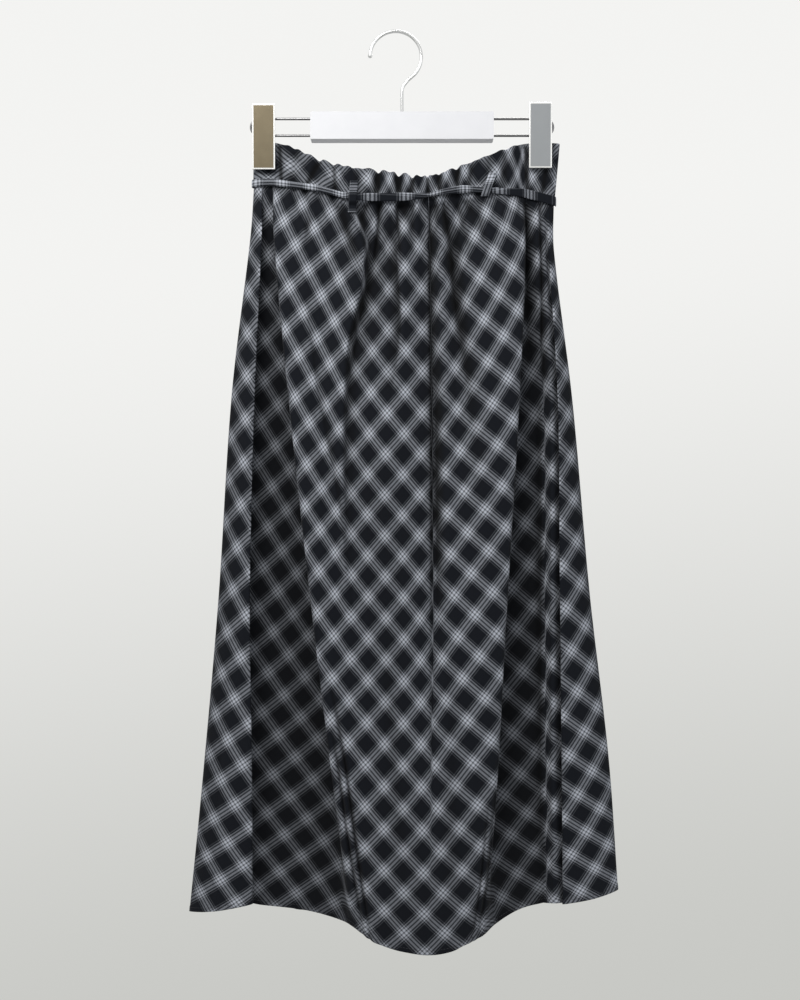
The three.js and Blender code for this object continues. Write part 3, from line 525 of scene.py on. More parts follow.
def mapped_grid(name, points, cloth_uv=None, close_across=False, shade=None):
    """A grid of points (rows down, columns across) made from a flat grid whose corners are moved."""
    rows, cols = points.shape[:2]
    bm = bmesh.new()
    bmesh.ops.create_grid(bm, x_segments=cols - 1, y_segments=rows - 1, size=1)
    uv_layer = bm.loops.layers.uv.new("cloth")
    # painted shade of each point, which the cloth's material multiplies into its colour
    shade_layer = bm.verts.layers.float.new("painted_shade")
    place = {}
    for vert in bm.verts:
        i = round((vert.co.x + 1) / 2 * (cols - 1))
        j = round((1 - vert.co.y) / 2 * (rows - 1))
        place[vert] = (j, i)
    if cloth_uv is not None:
        for face in bm.faces:
            for loop in face.loops:
                loop[uv_layer].uv = cloth_uv[place[loop.vert]]
    for vert, at in place.items():
        vert.co = points[at]
        vert[shade_layer] = 0 if shade is None else shade[at]
    if close_across:
        bmesh.ops.remove_doubles(bm, verts=bm.verts, dist=1e-6)
    for face in bm.faces:
        face.smooth = True
    return new_piece(name, bm)


def in_metres(points):
    return (points + np.array([HANGER_X, 0, 0])) * MM


def thicken(piece, thickness):
    shell = piece.modifiers.new("thickness", "SOLIDIFY")
    shell.thickness = thickness * MM
    shell.offset = 0
    shell.use_even_offset = False


# ---- the cut of the cloth --------------------------------------------------------------------------
def run_at(table, column, x, z):
    """A column of a run table, at places across and heights."""
    xs = np.array([row[0] for row in table], float)
    values = np.array([row[column] for row in table], float)
    i = np.clip(np.searchsorted(xs, x) - 1, 0, len(xs) - 2)
    j = np.clip(np.searchsorted(RUN_HEIGHTS, z) - 1, 0, len(RUN_HEIGHTS) - 2)
    heights = np.array(RUN_HEIGHTS, float)
    s = np.clip((x - xs[i]) / (xs[i + 1] - xs[i]), 0, 1)
    t = np.clip((z - heights[j]) / (heights[j + 1] - heights[j]), 0, 1)
    low = values[i, j] * (1 - s) + values[i + 1, j] * s
    high = values[i, j + 1] * (1 - s) + values[i + 1, j + 1] * s
    return low * (1 - t) + high * t


def conjugate_gradient(apply, right):
    answer = np.zeros_like(right)
    rest = right - apply(answer)
    way = rest.copy()
    size = (rest * rest).sum()
    for _ in range(SOLVER_STEPS):
        applied = apply(way)
        stride = size / (way * applied).sum()
        answer += stride * way
        rest -= stride * applied
        following = (rest * rest).sum()
        if following < 1e-12:
            break
        way = rest + way * (following / size)
        size = following
    return answer


def hidden_cloth(levels, place, table, tucks):
    """Extra cloth of each span of each row, across and down, and how firmly the span is held."""
    names = [row[0] for row in table]
    line = np.floor(place[:-1]).astype(int)
    hidden = np.zeros((2, len(levels), len(line)))
    hold = np.ones(len(line))
    for name, (hiding, *tuck) in tucks.items():
        inside = np.flatnonzero(line == names.index(name))[:hiding]
        hold[inside] = TUCK_HOLD
        for extra, amounts in zip(hidden, tuck):
            cloth = np.interp(levels, STATIONS, amounts)
            extra[:, inside] = cloth[:, None] / len(inside)
    return hidden, hold


def flat_pattern(points, levels, place, table, side, run, tucks):
    """Flat cloth coordinates of a grid of points, in millimetres, by least squares.

    The cloth follows the run table, and slips where a fold hides it.
    """
    across = np.diff(points, axis=1)
    down = np.diff(points, axis=0)
    du = np.gradient(points, axis=1)
    dv = np.gradient(points, axis=0)
    normal = np.cross(dv, du) * (1 if side < 0 else -1)
    normal /= np.linalg.norm(normal, axis=2)[..., None] + 1e-12
    plumb = np.array([0, 0, -1.0])
    fall = plumb - normal * (normal @ plumb)[..., None]
    fall /= np.linalg.norm(fall, axis=2)[..., None]
    level = np.cross(normal, fall)
    x, z = -points[..., 0] * side, points[..., 2]
    slack, lean, rise = (run_at(run, column, x, z)[..., None] for column in (1, 2, 3))
    drop = np.interp(z, RUN_HEIGHTS, RUN_DROP)[..., None]
    axis_u = slack * level + lean * fall
    axis_v = rise * level + drop * fall
    hidden, hold = hidden_cloth(levels, place, table, tucks)

    def mean_across(a):
        return 0.5 * (a[:, 1:] + a[:, :-1])

    def mean_down(a):
        return 0.5 * (a[1:] + a[:-1])

    length_u = np.linalg.norm(across, axis=2)
    length_v = np.linalg.norm(down, axis=2)
    tall = np.zeros(points.shape[:2])
    tall[:-1] += length_v / 2
    tall[1:] += length_v / 2
    wide = np.zeros(points.shape[:2])
    wide[:, :-1] += length_u / 2
    wide[:, 1:] += length_u / 2
    weight_u = mean_across(tall) / length_u * hold[None, :]
    weight_v = mean_down(wide) / length_v
    found = []
    for axis, more in ((axis_u, hidden[0]), (axis_v, hidden[1])):
        want_u = (across * mean_across(axis)).sum(axis=2) + more
        want_v = (down * mean_down(axis)).sum(axis=2)

        def spread(flow_u, flow_v):
            total = np.zeros(points.shape[:2])
            total[:, 1:] += flow_u
            total[:, :-1] -= flow_u
            total[1:] += flow_v
            total[:-1] -= flow_v
            return total

        def apply(value):
            return spread(weight_u * np.diff(value, axis=1), weight_v * np.diff(value, axis=0)) + 1e-7 * value

        found.append(conjugate_gradient(apply, spread(weight_u * want_u, weight_v * want_v)))
    return np.stack(found, axis=2)


def yarn_coordinates(flat, shift=(0, 0)):
    """Along the two sets of yarns, in metres, from flat coordinates in millimetres."""
    angle = math.radians(BIAS)
    u = flat[..., 0] + shift[0]
    v = flat[..., 1] + shift[1]
    warp = u * math.cos(angle) + v * math.sin(angle)
    weft = -u * math.sin(angle) + v * math.cos(angle)
    return np.stack([warp, weft], axis=-1) * MM


# ---- materials -------------------------------------------------------------------------------------
def new_material(name):
    material = bpy.data.materials.new(name)
    material.use_nodes = True
    nodes = material.node_tree.nodes
    return material, nodes, material.node_tree.links, nodes["Principled BSDF"]


def feed(links, socket, value):
    """Give a socket a number or a colour, or the output of another node."""
    if isinstance(value, (int, float, tuple)):
        socket.default_value = value
    else:
        links.new(value, socket)


def math_node(nodes, links, operation, *values):
    node = nodes.new("ShaderNodeMath")
    node.operation = operation
    for socket, value in zip(node.inputs, values):
        feed(links, socket, value)
    return node.outputs[0]


def mix_node(nodes, links, factor, first, second, blend="MIX"):
    node = nodes.new("ShaderNodeMix")
    node.data_type = "RGBA"
    node.blend_type = blend
    feed(links, node.inputs["Factor"], factor)
    feed(links, node.inputs[6], first)
    feed(links, node.inputs[7], second)
    return node.outputs[2]


def noise_node(nodes, links, place, scale, detail):
    node = nodes.new("ShaderNodeTexNoise")
    node.inputs["Scale"].default_value = scale
    node.inputs["Detail"].default_value = detail
    links.new(place, node.inputs["Vector"])
    return node.outputs["Fac"]


def range_node(nodes, links, value, to_low, to_high, low=0, high=1, kind="LINEAR"):
    node = nodes.new("ShaderNodeMapRange")
    node.interpolation_type = kind
    for name, limit in (("From Min", low), ("From Max", high), ("To Min", to_low), ("To Max", to_high)):
        node.inputs[name].default_value = limit
    links.new(value, node.inputs["Value"])
    return node.outputs[0]


def roughen(nodes, links, height, strength, shader):
    bump = nodes.new("ShaderNodeBump")
    bump.inputs["Strength"].default_value = strength
    bump.inputs["Distance"].default_value = BUMP_DISTANCE
    links.new(height, bump.inputs["Height"])
    links.new(bump.outputs[0], shader.inputs["Normal"])


def stripe_ramp(nodes, links, place):
    """Share of light yarn at a place that runs from 0, in the light band, to 1, in the dark square."""
    ramp = nodes.new("ShaderNodeValToRGB")
    elements = ramp.color_ramp.elements
    while len(elements) > 1:
        elements.remove(elements[-1])
    elements[0].position = STRIPE[0][0] * 2
    elements[0].color = (STRIPE[0][1],) * 3 + (1,)
    for stop, share in STRIPE[1:]:
        element = elements.new(stop * 2)
        element.color = (share,) * 3 + (1,)
    links.new(place, ramp.inputs[0])
    return ramp.outputs[0]


def check_group():
    """Two sets of striped yarns woven over and under each other."""
    group = bpy.data.node_groups.new("woven_check", "ShaderNodeTree")
    sockets = [
        ("Yarns", "INPUT", "Vector"), ("Period", "INPUT", "Float"), ("Yarn Width", "INPUT", "Float"),
        ("Dark", "INPUT", "Color"), ("Light", "INPUT", "Color"),
        ("Color", "OUTPUT", "Color"), ("Height", "OUTPUT", "Float"),
    ]
    for name, way, kind in sockets:
        group.interface.new_socket(name, in_out=way, socket_type="NodeSocket" + kind)
    nodes, links = group.nodes, group.links
    source = nodes.new("NodeGroupInput")
    result = nodes.new("NodeGroupOutput")
    split = nodes.new("ShaderNodeSeparateXYZ")
    links.new(source.outputs["Yarns"], split.inputs[0])
    shares, waves = [], []
    for axis in (0, 1):
        in_checks = math_node(nodes, links, "DIVIDE", split.outputs[axis], source.outputs["Period"])
        mirrored = math_node(nodes, links, "PINGPONG", in_checks, 0.5)
        shares.append(stripe_ramp(nodes, links, math_node(nodes, links, "MULTIPLY", mirrored, 2.0)))
        yarn = math_node(nodes, links, "DIVIDE", split.outputs[axis], source.outputs["Yarn Width"])
        waves.append(math_node(nodes, links, "SINE", math_node(nodes, links, "MULTIPLY", yarn, math.pi)))
    over = math_node(nodes, links, "MULTIPLY", *waves)
    on_top = math_node(nodes, links, "MULTIPLY_ADD", over, 0.35, 0.5)
    share = mix_node(nodes, links, on_top, *shares)
    strength = math_node(nodes, links, "POWER", share, SINGLE_STRIPE)
    colour = mix_node(nodes, links, strength, source.outputs["Dark"], source.outputs["Light"])
    links.new(colour, result.inputs["Color"])
    rounded = [math_node(nodes, links, "ABSOLUTE", wave) for wave in waves]
    links.new(math_node(nodes, links, "MULTIPLY", *rounded), result.inputs["Height"])
    return group


def check_cloth(group):
    material, nodes, links, shader = new_material("checked_cloth")
    coordinates = nodes.new("ShaderNodeUVMap")
    coordinates.uv_map = "cloth"
    weave = nodes.new("ShaderNodeGroup")
    weave.node_tree = group
    weave.inputs["Period"].default_value = CHECK_PERIOD
    weave.inputs["Yarn Width"].default_value = YARN_WIDTH
    weave.inputs["Dark"].default_value = DARK_YARN
    weave.inputs["Light"].default_value = LIGHT_YARN
    links.new(coordinates.outputs[0], weave.inputs["Yarns"])
    fuzz = noise_node(nodes, links, coordinates.outputs[0], 900, 2)
    uneven = range_node(nodes, links, fuzz, 0.86, 1.12)
    tinted = mix_node(nodes, links, 1, weave.outputs["Color"], uneven, "MULTIPLY")
    # Painted shade kept on the mesh darkens the cloth's colour in folds, under the waistband and near the
    # hem.
    painted_shade = nodes.new("ShaderNodeAttribute")
    painted_shade.attribute_name = "painted_shade"
    fold_shade = range_node(nodes, links, painted_shade.outputs["Fac"], 1, DARKEST_FOLD)
    shaded = mix_node(nodes, links, 1, tinted, fold_shade, "MULTIPLY")
    links.new(shaded, shader.inputs["Base Color"])
    roughen(nodes, links, weave.outputs["Height"], 0.25, shader)
    shader.inputs["Roughness"].default_value = 0.85
    shader.inputs["Specular IOR Level"].default_value = 0.12
    shader.inputs["Sheen Weight"].default_value = 0.03
    shader.inputs["Sheen Roughness"].default_value = 0.5
    return material


def metal(name, colour, roughness, scratch_scale):
    material, nodes, links, shader = new_material(name)
    shader.inputs["Base Color"].default_value = colour
    shader.inputs["Metallic"].default_value = 1
    place = nodes.new("ShaderNodeTexCoord")
    noise = noise_node(nodes, links, place.outputs["Object"], scratch_scale, 4)
    worn = range_node(nodes, links, noise, roughness, roughness + POLISH_SPREAD, 0.3, 0.7)
    links.new(worn, shader.inputs["Roughness"])
    return material


def two_tone(name, scale, detail, first, second, roughness, raised=0):
    """A surface that wanders between two colours; raised is how much of a relief the same noise makes."""
    material, nodes, links, shader = new_material(name)
    place = nodes.new("ShaderNodeTexCoord")
    noise = noise_node(nodes, links, place.outputs["Object"], scale, detail)
    links.new(mix_node(nodes, links, noise, first, second), shader.inputs["Base Color"])
    if raised:
        roughen(nodes, links, noise, raised, shader)
    shader.inputs["Roughness"].default_value = roughness
    return material


CLOTH = check_cloth(check_group())
CHROME = metal("chrome_wire", (0.66, 0.665, 0.67, 1), 0.14, 45)
RIM = metal("clip_bright_edge", (0.88, 0.88, 0.87, 1), 0.25, 120)
STEEL = metal("dark_steel_rod", (0.20, 0.20, 0.205, 1), 0.18, 45)
# The two clip faces are the same metal; the left one's warm dark tint and the right one's cool lighter tint
# are painted reflections.
CLIP_FACE_WARM_REFLECTION = metal("clip_face_painted_warm_reflection", (0.166, 0.140, 0.095, 1), 0.28, 90)
CLIP_FACE_COOL_REFLECTION = metal("clip_face_painted_cool_reflection", (0.34, 0.355, 0.37, 1), 0.28, 90)
WHITE = two_tone("white_bar_plastic", 60, 5, (0.71, 0.72, 0.745, 1), (0.78, 0.785, 0.81, 1), 0.35, 0.05)
THREAD = two_tone("dark_thread", 3000, 2, (0.010, 0.011, 0.014, 1), (0.035, 0.036, 0.042, 1), 0.7)


def dress(piece, material):
    piece.data.materials.clear()
    piece.data.materials.append(material)
    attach(piece, "root")


# ---- skirt panels ----------------------------------------------------------------------------------
def press_creases(points, side, creases):
    """Valleys and ridges along given lines, over a slight unevenness; their shade and light."""
    moved = points.copy()
    shade = np.zeros(points.shape[:2])
    light = np.zeros(points.shape[:2])
    x, down = points[..., 0], -points[..., 2]
    uneven = 0.35 * np.sin(x / 13 + down / 71) * np.sin(down / 47 + 1)
    uneven += 0.25 * np.sin(x / 7.3 - down / 39 + 2)
    from_side = np.minimum(x - x.min(axis=1, keepdims=True), x.max(axis=1, keepdims=True) - x)
    moved[..., 1] += side * uneven * np.clip((down - 190) / 80, 0, 1) * np.clip(from_side / 20 - 0.2, 0, 1)
    for left, right, line in creases:
        places = np.array(line, float)
        middle = np.interp(down, -places[:, 1], places[:, 0])
        depth = np.interp(down, -places[:, 1], places[:, 2])
        past = (down > -places[-1, 1] + CREASE_END) | (down < -places[0, 1])
        away = x - middle
        pressed = np.where(past, 0, depth) * np.exp(-(away / np.where(away < 0, left, right))**2)
        moved[..., 1] -= side * pressed
        # painted shade along a pressed valley, and a painted highlight along a proud ridge
        shade = np.maximum(shade, CREASE_SHADE * pressed)
        light = np.maximum(light, -RIDGE_LIGHT * pressed)
    return moved, shade, light


def painted_hollow_shade(points, side):
    """Painted shade of each point, from 0 to 1, by how far it lies behind the folds to its left and right."""
    found = []
    for row in points:
        x, depth = row[:, 0], row[:, 1] * side
        sheltering = depth[None, :] - SHELTER_SLOPE * np.abs(x[:, None] - x[None, :])
        found.append(sheltering.max(axis=1) - depth)
    return HOLLOW_SHADE * (1 - np.exp(-np.array(found) / HOLLOW_DEPTH))


def edge_shade(points, levels, side):
    """Painted shade under the waistband, and towards the hem of the front."""
    shade = np.repeat(SEAM_SHADE * np.exp(-levels / SEAM_SHADE_FADE)[:, None], points.shape[1], axis=1)
    if side < 0:
        down = np.clip((levels - HEM_SHADE_FROM) / (HEM_SHADE_TO - HEM_SHADE_FROM), 0, 1)[:, None]
        shade += HEM_SHADE * down * np.exp(-((points[..., 0] - HEM_SHADE_X) / HEM_SHADE_HALF)**2)
    return shade


def hem_thickening(points, side):
    """The turned hem stands a little proud of the panel, to its last few millimetres."""
    length = np.concatenate([[0], np.cumsum(np.linalg.norm(np.diff(points, axis=0), axis=2).mean(axis=1))])
    from_edge = length[-1] - length
    lift = HEM_RISE * np.clip((HEM_DEPTH + HEM_STEP - from_edge) / HEM_STEP, 0, 1)
    moved = points.copy()
    for row, amount in enumerate(lift):
        if amount > 0:
            moved[row] += outward(points[row], side) * amount
    return moved


def panel_levels(count):
    """Rows crowd towards the gathers, and a few lie along the turned hem."""
    t = np.linspace(0, 1, count)
    levels = 0.35 * t**2.2 + 0.65 * t
    near_hem = 1 - np.array([HEM_DEPTH + 0.7, HEM_DEPTH, 1.2]) / SKIRT_LENGTH
    return np.unique(np.concatenate([levels, near_hem]))


def panel_points(table, side, count):
    cols = columns(table, PANEL_DENSITY)
    levels = panel_levels(count)
    rows = []
    for level in levels:
        depth = math.exp(-level / GATHER_FADE)
        row = section(table, level, side, depth, cols)
        if level == 0:
            row[:, 2] -= SEAM_GAP / 2
        rows.append(row)
    return np.array(rows), levels, cols


def skirt_panel(name, table, run, tucks, side, count, shift):
    points, levels, cols = panel_points(table, side, count)
    pattern = flat_pattern(points, levels, cols[0], table, side, run, tucks)
    # Painted shade for the cloth's colour, with a painted highlight on ridges.
    shade = painted_hollow_shade(points, side)
    points, pressed, light = press_creases(points, side, CREASES[side])
    shade = 1 - (1 - shade * (1 - np.clip(light, 0, 1))) * (1 - np.clip(pressed, 0, DEEPEST_SHADE))
    shade = 1 - (1 - shade) * (1 - edge_shade(points, levels, side))
    points = hem_thickening(points, side)
    uv = yarn_coordinates(pattern, shift)
    if side > 0:
        points, uv, shade = points[:, ::-1], uv[:, ::-1], shade[:, ::-1]
    piece = mapped_grid(name + "_cloth", in_metres(points), uv, shade=shade)
    thicken(piece, PANEL_CLOTH)
    dress(piece, CLOTH)
    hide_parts(name)


skirt_panel("front_panel", FRONT, FRONT_RUN, FRONT_TUCKS, -1, 140,
            shift=(-71.5, -150))
skirt_panel("back_panel", BACK, BACK_RUN, {}, 1, 110, shift=(7, 11))


# ---- waistband, belt and loops ---------------------------------------------------------------------
def smoothstep(value, low, high):
    t = np.clip((value - low) / (high - low), 0, 1)
    return t * t * (3 - 2 * t)


def from_table(table, x, column=1):
    return np.interp(x, [row[0] for row in table], [row[column] for row in table])


def waist_ring(density):
    """The bare waist line all round: left to right in front, then back to the left."""
    halves = []
    for table, side in ((FRONT, -1), (BACK, 1)):
        cols = columns(table, density)
        bare = spline(level_points(table, 0), cols[0])
        halves.append((bare, cols[1], cols[2], np.full(len(bare), side)))
    front, back = halves
    joined = [np.concatenate([f, b[::-1][1:-1]]) for f, b in zip(front, back)]
    bare, gather, waist, side = joined
    ring = {"bare": bare, "gather": gather, "waist": waist, "side": side}
    ring["out"] = outward(bare, -1, closed=True)
    run = np.linalg.norm(np.diff(bare, axis=0, append=bare[:1]), axis=1)
    ring["run"] = np.concatenate([[0], np.cumsum(run)[:-1]])
    return ring


def band_ripple(ring, level):
    """How far the gathers push the band out, in millimetres."""
    front = ring["side"] < 0
    x = ring["bare"][:, 0]
    ripple = gather_wave(ring["waist"]) * ring["gather"] * np.where(front, BAND_FRONT_GATHER, 1.0)
    for top, seam, depth, half in BAND_FOLDS:
        middle = top + (seam - top) * level
        ripple = ripple - front * depth * np.exp(-((x - middle) / half)**2)
    return ripple


def band_middle(ring, level):
    bare = ring["bare"]
    ripple = band_ripple(ring, level)
    points = bare + ring["out"] * ripple[:, None]
    x, y = points[:, 0].copy(), points[:, 1].copy()
    in_clip = smoothstep(np.abs(x), *CLIP_FLAT_X)
    flat = ring["side"] * np.minimum(np.abs(y), CLIP_FLAT_Y)
    top_y = y * BAND_TOP_DEPTH * (1 - in_clip) + flat * in_clip
    keep = float(smoothstep(level, BAND_FLAT_LEVEL, 1))
    points[:, 1] = top_y * (1 - keep) + y * keep
    points[:, 0] = x + BAND_RIGHT_FLARE * (1 - level) * smoothstep(x, *BAND_RIGHT_X)
    top = np.array([top_z(value) for value in x]) + BAND_EDGE_RISE * ripple * (1 - in_clip)
    points[:, 2] = top * (1 - level) + (bare[:, 2] + SEAM_GAP / 2) * level
    return points


def closed_sheet(rows, uv_rows):
    """Rows down and columns across, with the first row and column repeated at the end."""
    points = np.array(rows + rows[:1])
    uv = np.array(uv_rows + uv_rows[:1])
    points = np.concatenate([points, points[:, :1]], axis=1)
    return points, uv


def waistband(ring):
    half = BAND_THICK / 2
    rows, heights = [], []
    profile = [(level, -half) for level in np.linspace(1, 0.06, 12)]
    profile += [(0, angle) for angle in np.linspace(math.pi, 0, 7)]
    profile += [(level, half) for level in np.linspace(0.06, 1, BAND_ROWS)]
    for level, place in profile:
        over_top = level == 0
        middle = band_middle(ring, level)
        shift = half * math.cos(place) if over_top else place
        row = middle + ring["out"] * shift
        if over_top:
            row[:, 2] += half * math.sin(place)
        rows.append(row)
        heights.append(row[:, 2] - ring["bare"][:, 2])
    x = np.append(ring["waist"], ring["waist"][0])
    front = np.append(ring["side"] < 0, False)
    run = np.append(ring["run"], 0)
    run[-1] = run[-2] + 1
    turn_index = int(np.argmin(ring["side"] < 0)) - 1
    in_checks = from_table(BAND_CROSSINGS, x)
    diagonal = CHECK_PERIOD / MM * math.sqrt(2)
    behind = in_checks[turn_index] + (run - run[turn_index]) * BAND_BACK_SLACK / diagonal
    u = np.where(front, in_checks, behind) * diagonal
    uv_rows = []
    for height in heights:
        v = -(np.append(height, height[0]) - BAND_CROSSING_HEIGHT)
        uv_rows.append(yarn_coordinates(np.stack([u, v], axis=-1)))
    points, uv = closed_sheet(rows, uv_rows)
    # Painted shade along the folds pressed into the front of the band.
    shade = np.zeros(points.shape[:2])
    outside = len(profile) - BAND_ROWS
    for top, seam, depth, half_width in BAND_FOLDS:
        for row, (level, _) in enumerate(profile[outside:], outside):
            away = (points[row, :, 0] - top - (seam - top) * level) / half_width
            shade[row] = np.maximum(shade[row], BAND_SHADE * depth * np.exp(-away**2) * front)
    shade = np.clip(shade, 0, DEEPEST_SHADE)
    piece = mapped_grid("waistband_casing", in_metres(points), uv, close_across=True, shade=shade)
    dress(piece, CLOTH)
    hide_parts("waistband")


def belt_profile():
    """Rounded tape: how far out the points around it lie, and their height in half heights."""
    angle = np.linspace(math.pi * 1.25, -math.pi * 0.75, 17)[:-1]
    out = np.sign(np.cos(angle)) * np.abs(np.cos(angle))**BELT_ROUNDING * BELT_THICK / 2
    up = np.sign(np.sin(angle)) * np.abs(np.sin(angle))**BELT_ROUNDING
    return zip(out, up)


def belt():
    ring = waist_ring(BELT_DENSITY)
    x = ring["waist"]
    front = ring["side"] < 0
    reach = BAND_THICK / 2 + GATHER_DEPTH * ring["gather"] + BELT_CLEAR + BELT_THICK / 2
    line = ring["bare"] + ring["out"] * reach[:, None]
    half = np.where(front, from_table(BELT_SHAPE, x), BELT_BACK_HALF)
    place = np.where(front, from_table(BELT_SHAPE, x, 2), BELT_BACK_CHECK)
    bands = from_table(BELT_BANDS, x)
    turn_index = int(np.argmin(front)) - 1
    behind = bands[turn_index] + (ring["run"] - ring["run"][turn_index]) * MM / CHECK_PERIOD
    u = np.where(front, bands, behind) * CHECK_PERIOD
    u = np.append(u, u[-1] + 0.001)
    rows, uv_rows = [], []
    for out, up in belt_profile():
        row = line + ring["out"] * out
        row[:, 2] += up * half
        rows.append(row)
        v = place * CHECK_PERIOD - up * half * MM
        uv_rows.append(np.stack([u, np.append(v, v[0])], axis=-1))
    points, uv = closed_sheet(rows, uv_rows)
    piece = mapped_grid("belt_tape", in_metres(points), uv, close_across=True)
    dress(piece, CLOTH)
    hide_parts("belt")


def farthest(points, side, x):
    near = points[np.abs(points[:, 0] - x) < LOOP_WIDTH / 2 + LOOP_MARGIN]
    return (near[:, 1] * side).max()


def loop_seats(side, x, below, slant, ring, table, cols):
    """How far out the loop lies at each height from its top end to its bottom end."""
    shoulder = BELT_WIDTH / 2 + LOOP_EASE
    on_side = ring["side"] == side
    clear = BAND_THICK / 2 + GATHER_DEPTH + BELT_CLEAR + BELT_THICK
    over_belt = farthest((ring["bare"] + ring["out"] * clear)[on_side], side, x) + SEAM_GAP
    rises = np.linspace(LOOP_ABOVE, -below, 22)
    seats = []
    tall = top_z(x) - seam_z(x)
    for rise in rises:
        at = x + slant * rise / LOOP_ABOVE
        if rise >= 0:
            band = band_middle(ring, 1 - rise / tall)[on_side]
            seat = farthest(band, side, at) + BAND_THICK / 2 + SEAM_GAP / 2
        else:
            level = -rise / SKIRT_LENGTH
            row = section(table, level, side, math.exp(-level / GATHER_FADE), cols)
            seat = farthest(row, side, at) + PANEL_CLOTH / 2 + SEAM_GAP / 2
        bridge = 1 - smoothstep(abs(rise), shoulder, shoulder + LOOP_KNEE)
        seats.append(max(seat, 0) * (1 - bridge) + max(over_belt, seat) * bridge)
    return rises, np.array(seats)


def belt_loop(side, name, x, below, slant, check, ring, panel):
    across = np.linspace(-1, 1, 9)
    if side > 0:
        across = across[::-1]
    points, uv = [], []
    for rise, seat in zip(*loop_seats(side, x, below, slant, ring, *panel)):
        lean = slant * rise / LOOP_ABOVE
        row, uv_row = [], []
        for share in across:
            arch = LOOP_ARCH * (1 - share**2)
            depth = side * (seat + LOOP_THICK / 2 + arch)
            row.append((x + lean + share * LOOP_WIDTH / 2, depth, seam_z(x) + rise))
            uv_row.append((check[0] * CHECK_PERIOD + share * LOOP_WIDTH / 2 * MM,
                           (check[1] - 0.5) * CHECK_PERIOD - rise * MM))
        points.append(row)
        uv.append(uv_row)
    piece = mapped_grid(name + "_cloth", in_metres(np.array(points)), np.array(uv))
    thicken(piece, LOOP_THICK)
    soften = piece.modifiers.new("soft_edges", "BEVEL")
    soften.width = LOOP_EDGE * MM
    soften.segments = 2
    dress(piece, CLOTH)
    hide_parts(name)


# ---- stitches --------------------------------------------------------------------------------------
def run_along(line):
    """Length of a line from its first point to each of its points."""
    return np.concatenate([[0], np.cumsum(np.linalg.norm(np.diff(line, axis=0), axis=1))])


def along_line(at, run, values):
    """Values at one or more lengths along a line."""
    return np.stack([np.interp(at, run, values[:, k]) for k in range(3)], axis=-1)


def hem_stitches(name, side, table, cols):
    """Small boxes along the turned hem, lying on the cloth."""
    level = 1 - (HEM_DEPTH - STITCH["in_hem"]) / SKIRT_LENGTH
    row = press_creases(section(table, level, side, 0, cols)[None], side, CREASES[side])[0][0]
    outs = outward(row, side)
    line = row + outs * (PANEL_CLOTH / 2 + STITCH["above_cloth"])
    run = run_along(line)
    pitch, half, thick = STITCH["pitch"], STITCH["length"] / 2, STITCH["thick"]
    bm = bmesh.new()
    for middle in np.arange(pitch, run[-1] - pitch, pitch):
        start, end = along_line(middle - half, run, line), along_line(middle + half, run, line)
        out = Vector(along_line(middle, run, outs)).normalized()
        along = Vector(end - start)
        across = out.cross(along).normalized()
        turn = Matrix((along.normalized(), across, out)).transposed().to_4x4()
        place = Vector(in_metres((start + end) / 2))
        scale = Matrix.Diagonal((along.length * MM, thick * MM, thick * STITCH["flatness"] * MM, 1))
        bmesh.ops.create_cube(bm, size=1, matrix=Matrix.Translation(place) @ turn @ scale)
    dress(new_piece(name, bm), THREAD)


# ---- hanger ----------------------------------------------------------------------------------------
def tube(name, path, radius):
    """Round wire through a row of points in the plane of the hanger."""
    along = np.gradient(path, axis=0)
    along /= np.linalg.norm(along, axis=1)[:, None]
    flat = np.stack([along[:, 2], np.zeros(len(path)), -along[:, 0]], axis=1)
    rows = []
    for turn in np.linspace(0, 2 * math.pi, WIRE_SIDES + 1):
        rows.append(path + radius * (flat * math.cos(turn) + np.array([0, -math.sin(turn), 0])))
    return mapped_grid(name, in_metres(np.array(rows)), close_across=True)


def resample(points, count):
    """Evenly spaced points on the smooth curve through the given ones."""
    points = np.array(points, float)
    fine = spline(points, np.linspace(0, len(points) - 1, 40 * len(points)))
    run = run_along(fine)
    return along_line(np.linspace(0, run[-1], count), run, fine)


def hook():
    radius = HOOK["radius"]
    middle_x, middle_z = -HANGER_X, HOOK["wire"] - radius
    points = []
    for turn in np.radians(np.linspace(HOOK["tip"], HOOK["neck"], 13)):
        points.append((middle_x + radius * math.cos(turn), 0, middle_z + radius * math.sin(turn)))
    points += [(x, 0, z) for x, z in HOOK_NECK]
    points.append((0, 0, BAR["middle_z"] + BAR["height"] / 2 + SEAM_GAP))
    wire = tube("hook_wire", resample(points, 150), HOOK["wire"])
    bm = bmesh.new()
    tip = Vector(in_metres(np.array(points[0]) + np.array([0.1, 0, -0.6])))
    bmesh.ops.create_uvsphere(bm, u_segments=20, v_segments=12, radius=HOOK["ball"] * HOOK["wire"] * MM,
                              matrix=Matrix.Translation(tip))
    for face in bm.faces:
        face.smooth = True
    for piece in (wire, new_piece("hook_ball", bm)):
        dress(piece, CHROME)
    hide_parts("hanger_hook")


def rods(name, side):
    turn = ROD["spacing"] / 2
    start = side * (BAR["width"] / 2 - ROD["socket"])
    bend = side * (ROD["half_span"] - turn)
    angle = np.linspace(math.pi / 2, -math.pi / 2, 25)
    straight = start + side * ROD["straight"]
    path = [(start, 0, BAR["middle_z"] + turn), (straight, 0, BAR["middle_z"] + turn)]
    path += [(bend + side * turn * math.cos(a), 0, BAR["middle_z"] + turn * math.sin(a)) for a in angle]
    path += [(straight, 0, BAR["middle_z"] - turn), (start, 0, BAR["middle_z"] - turn)]
    wire = tube(name + "_wire", np.array(path, float), ROD["radius"])
    dress(wire, STEEL)
    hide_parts(name)


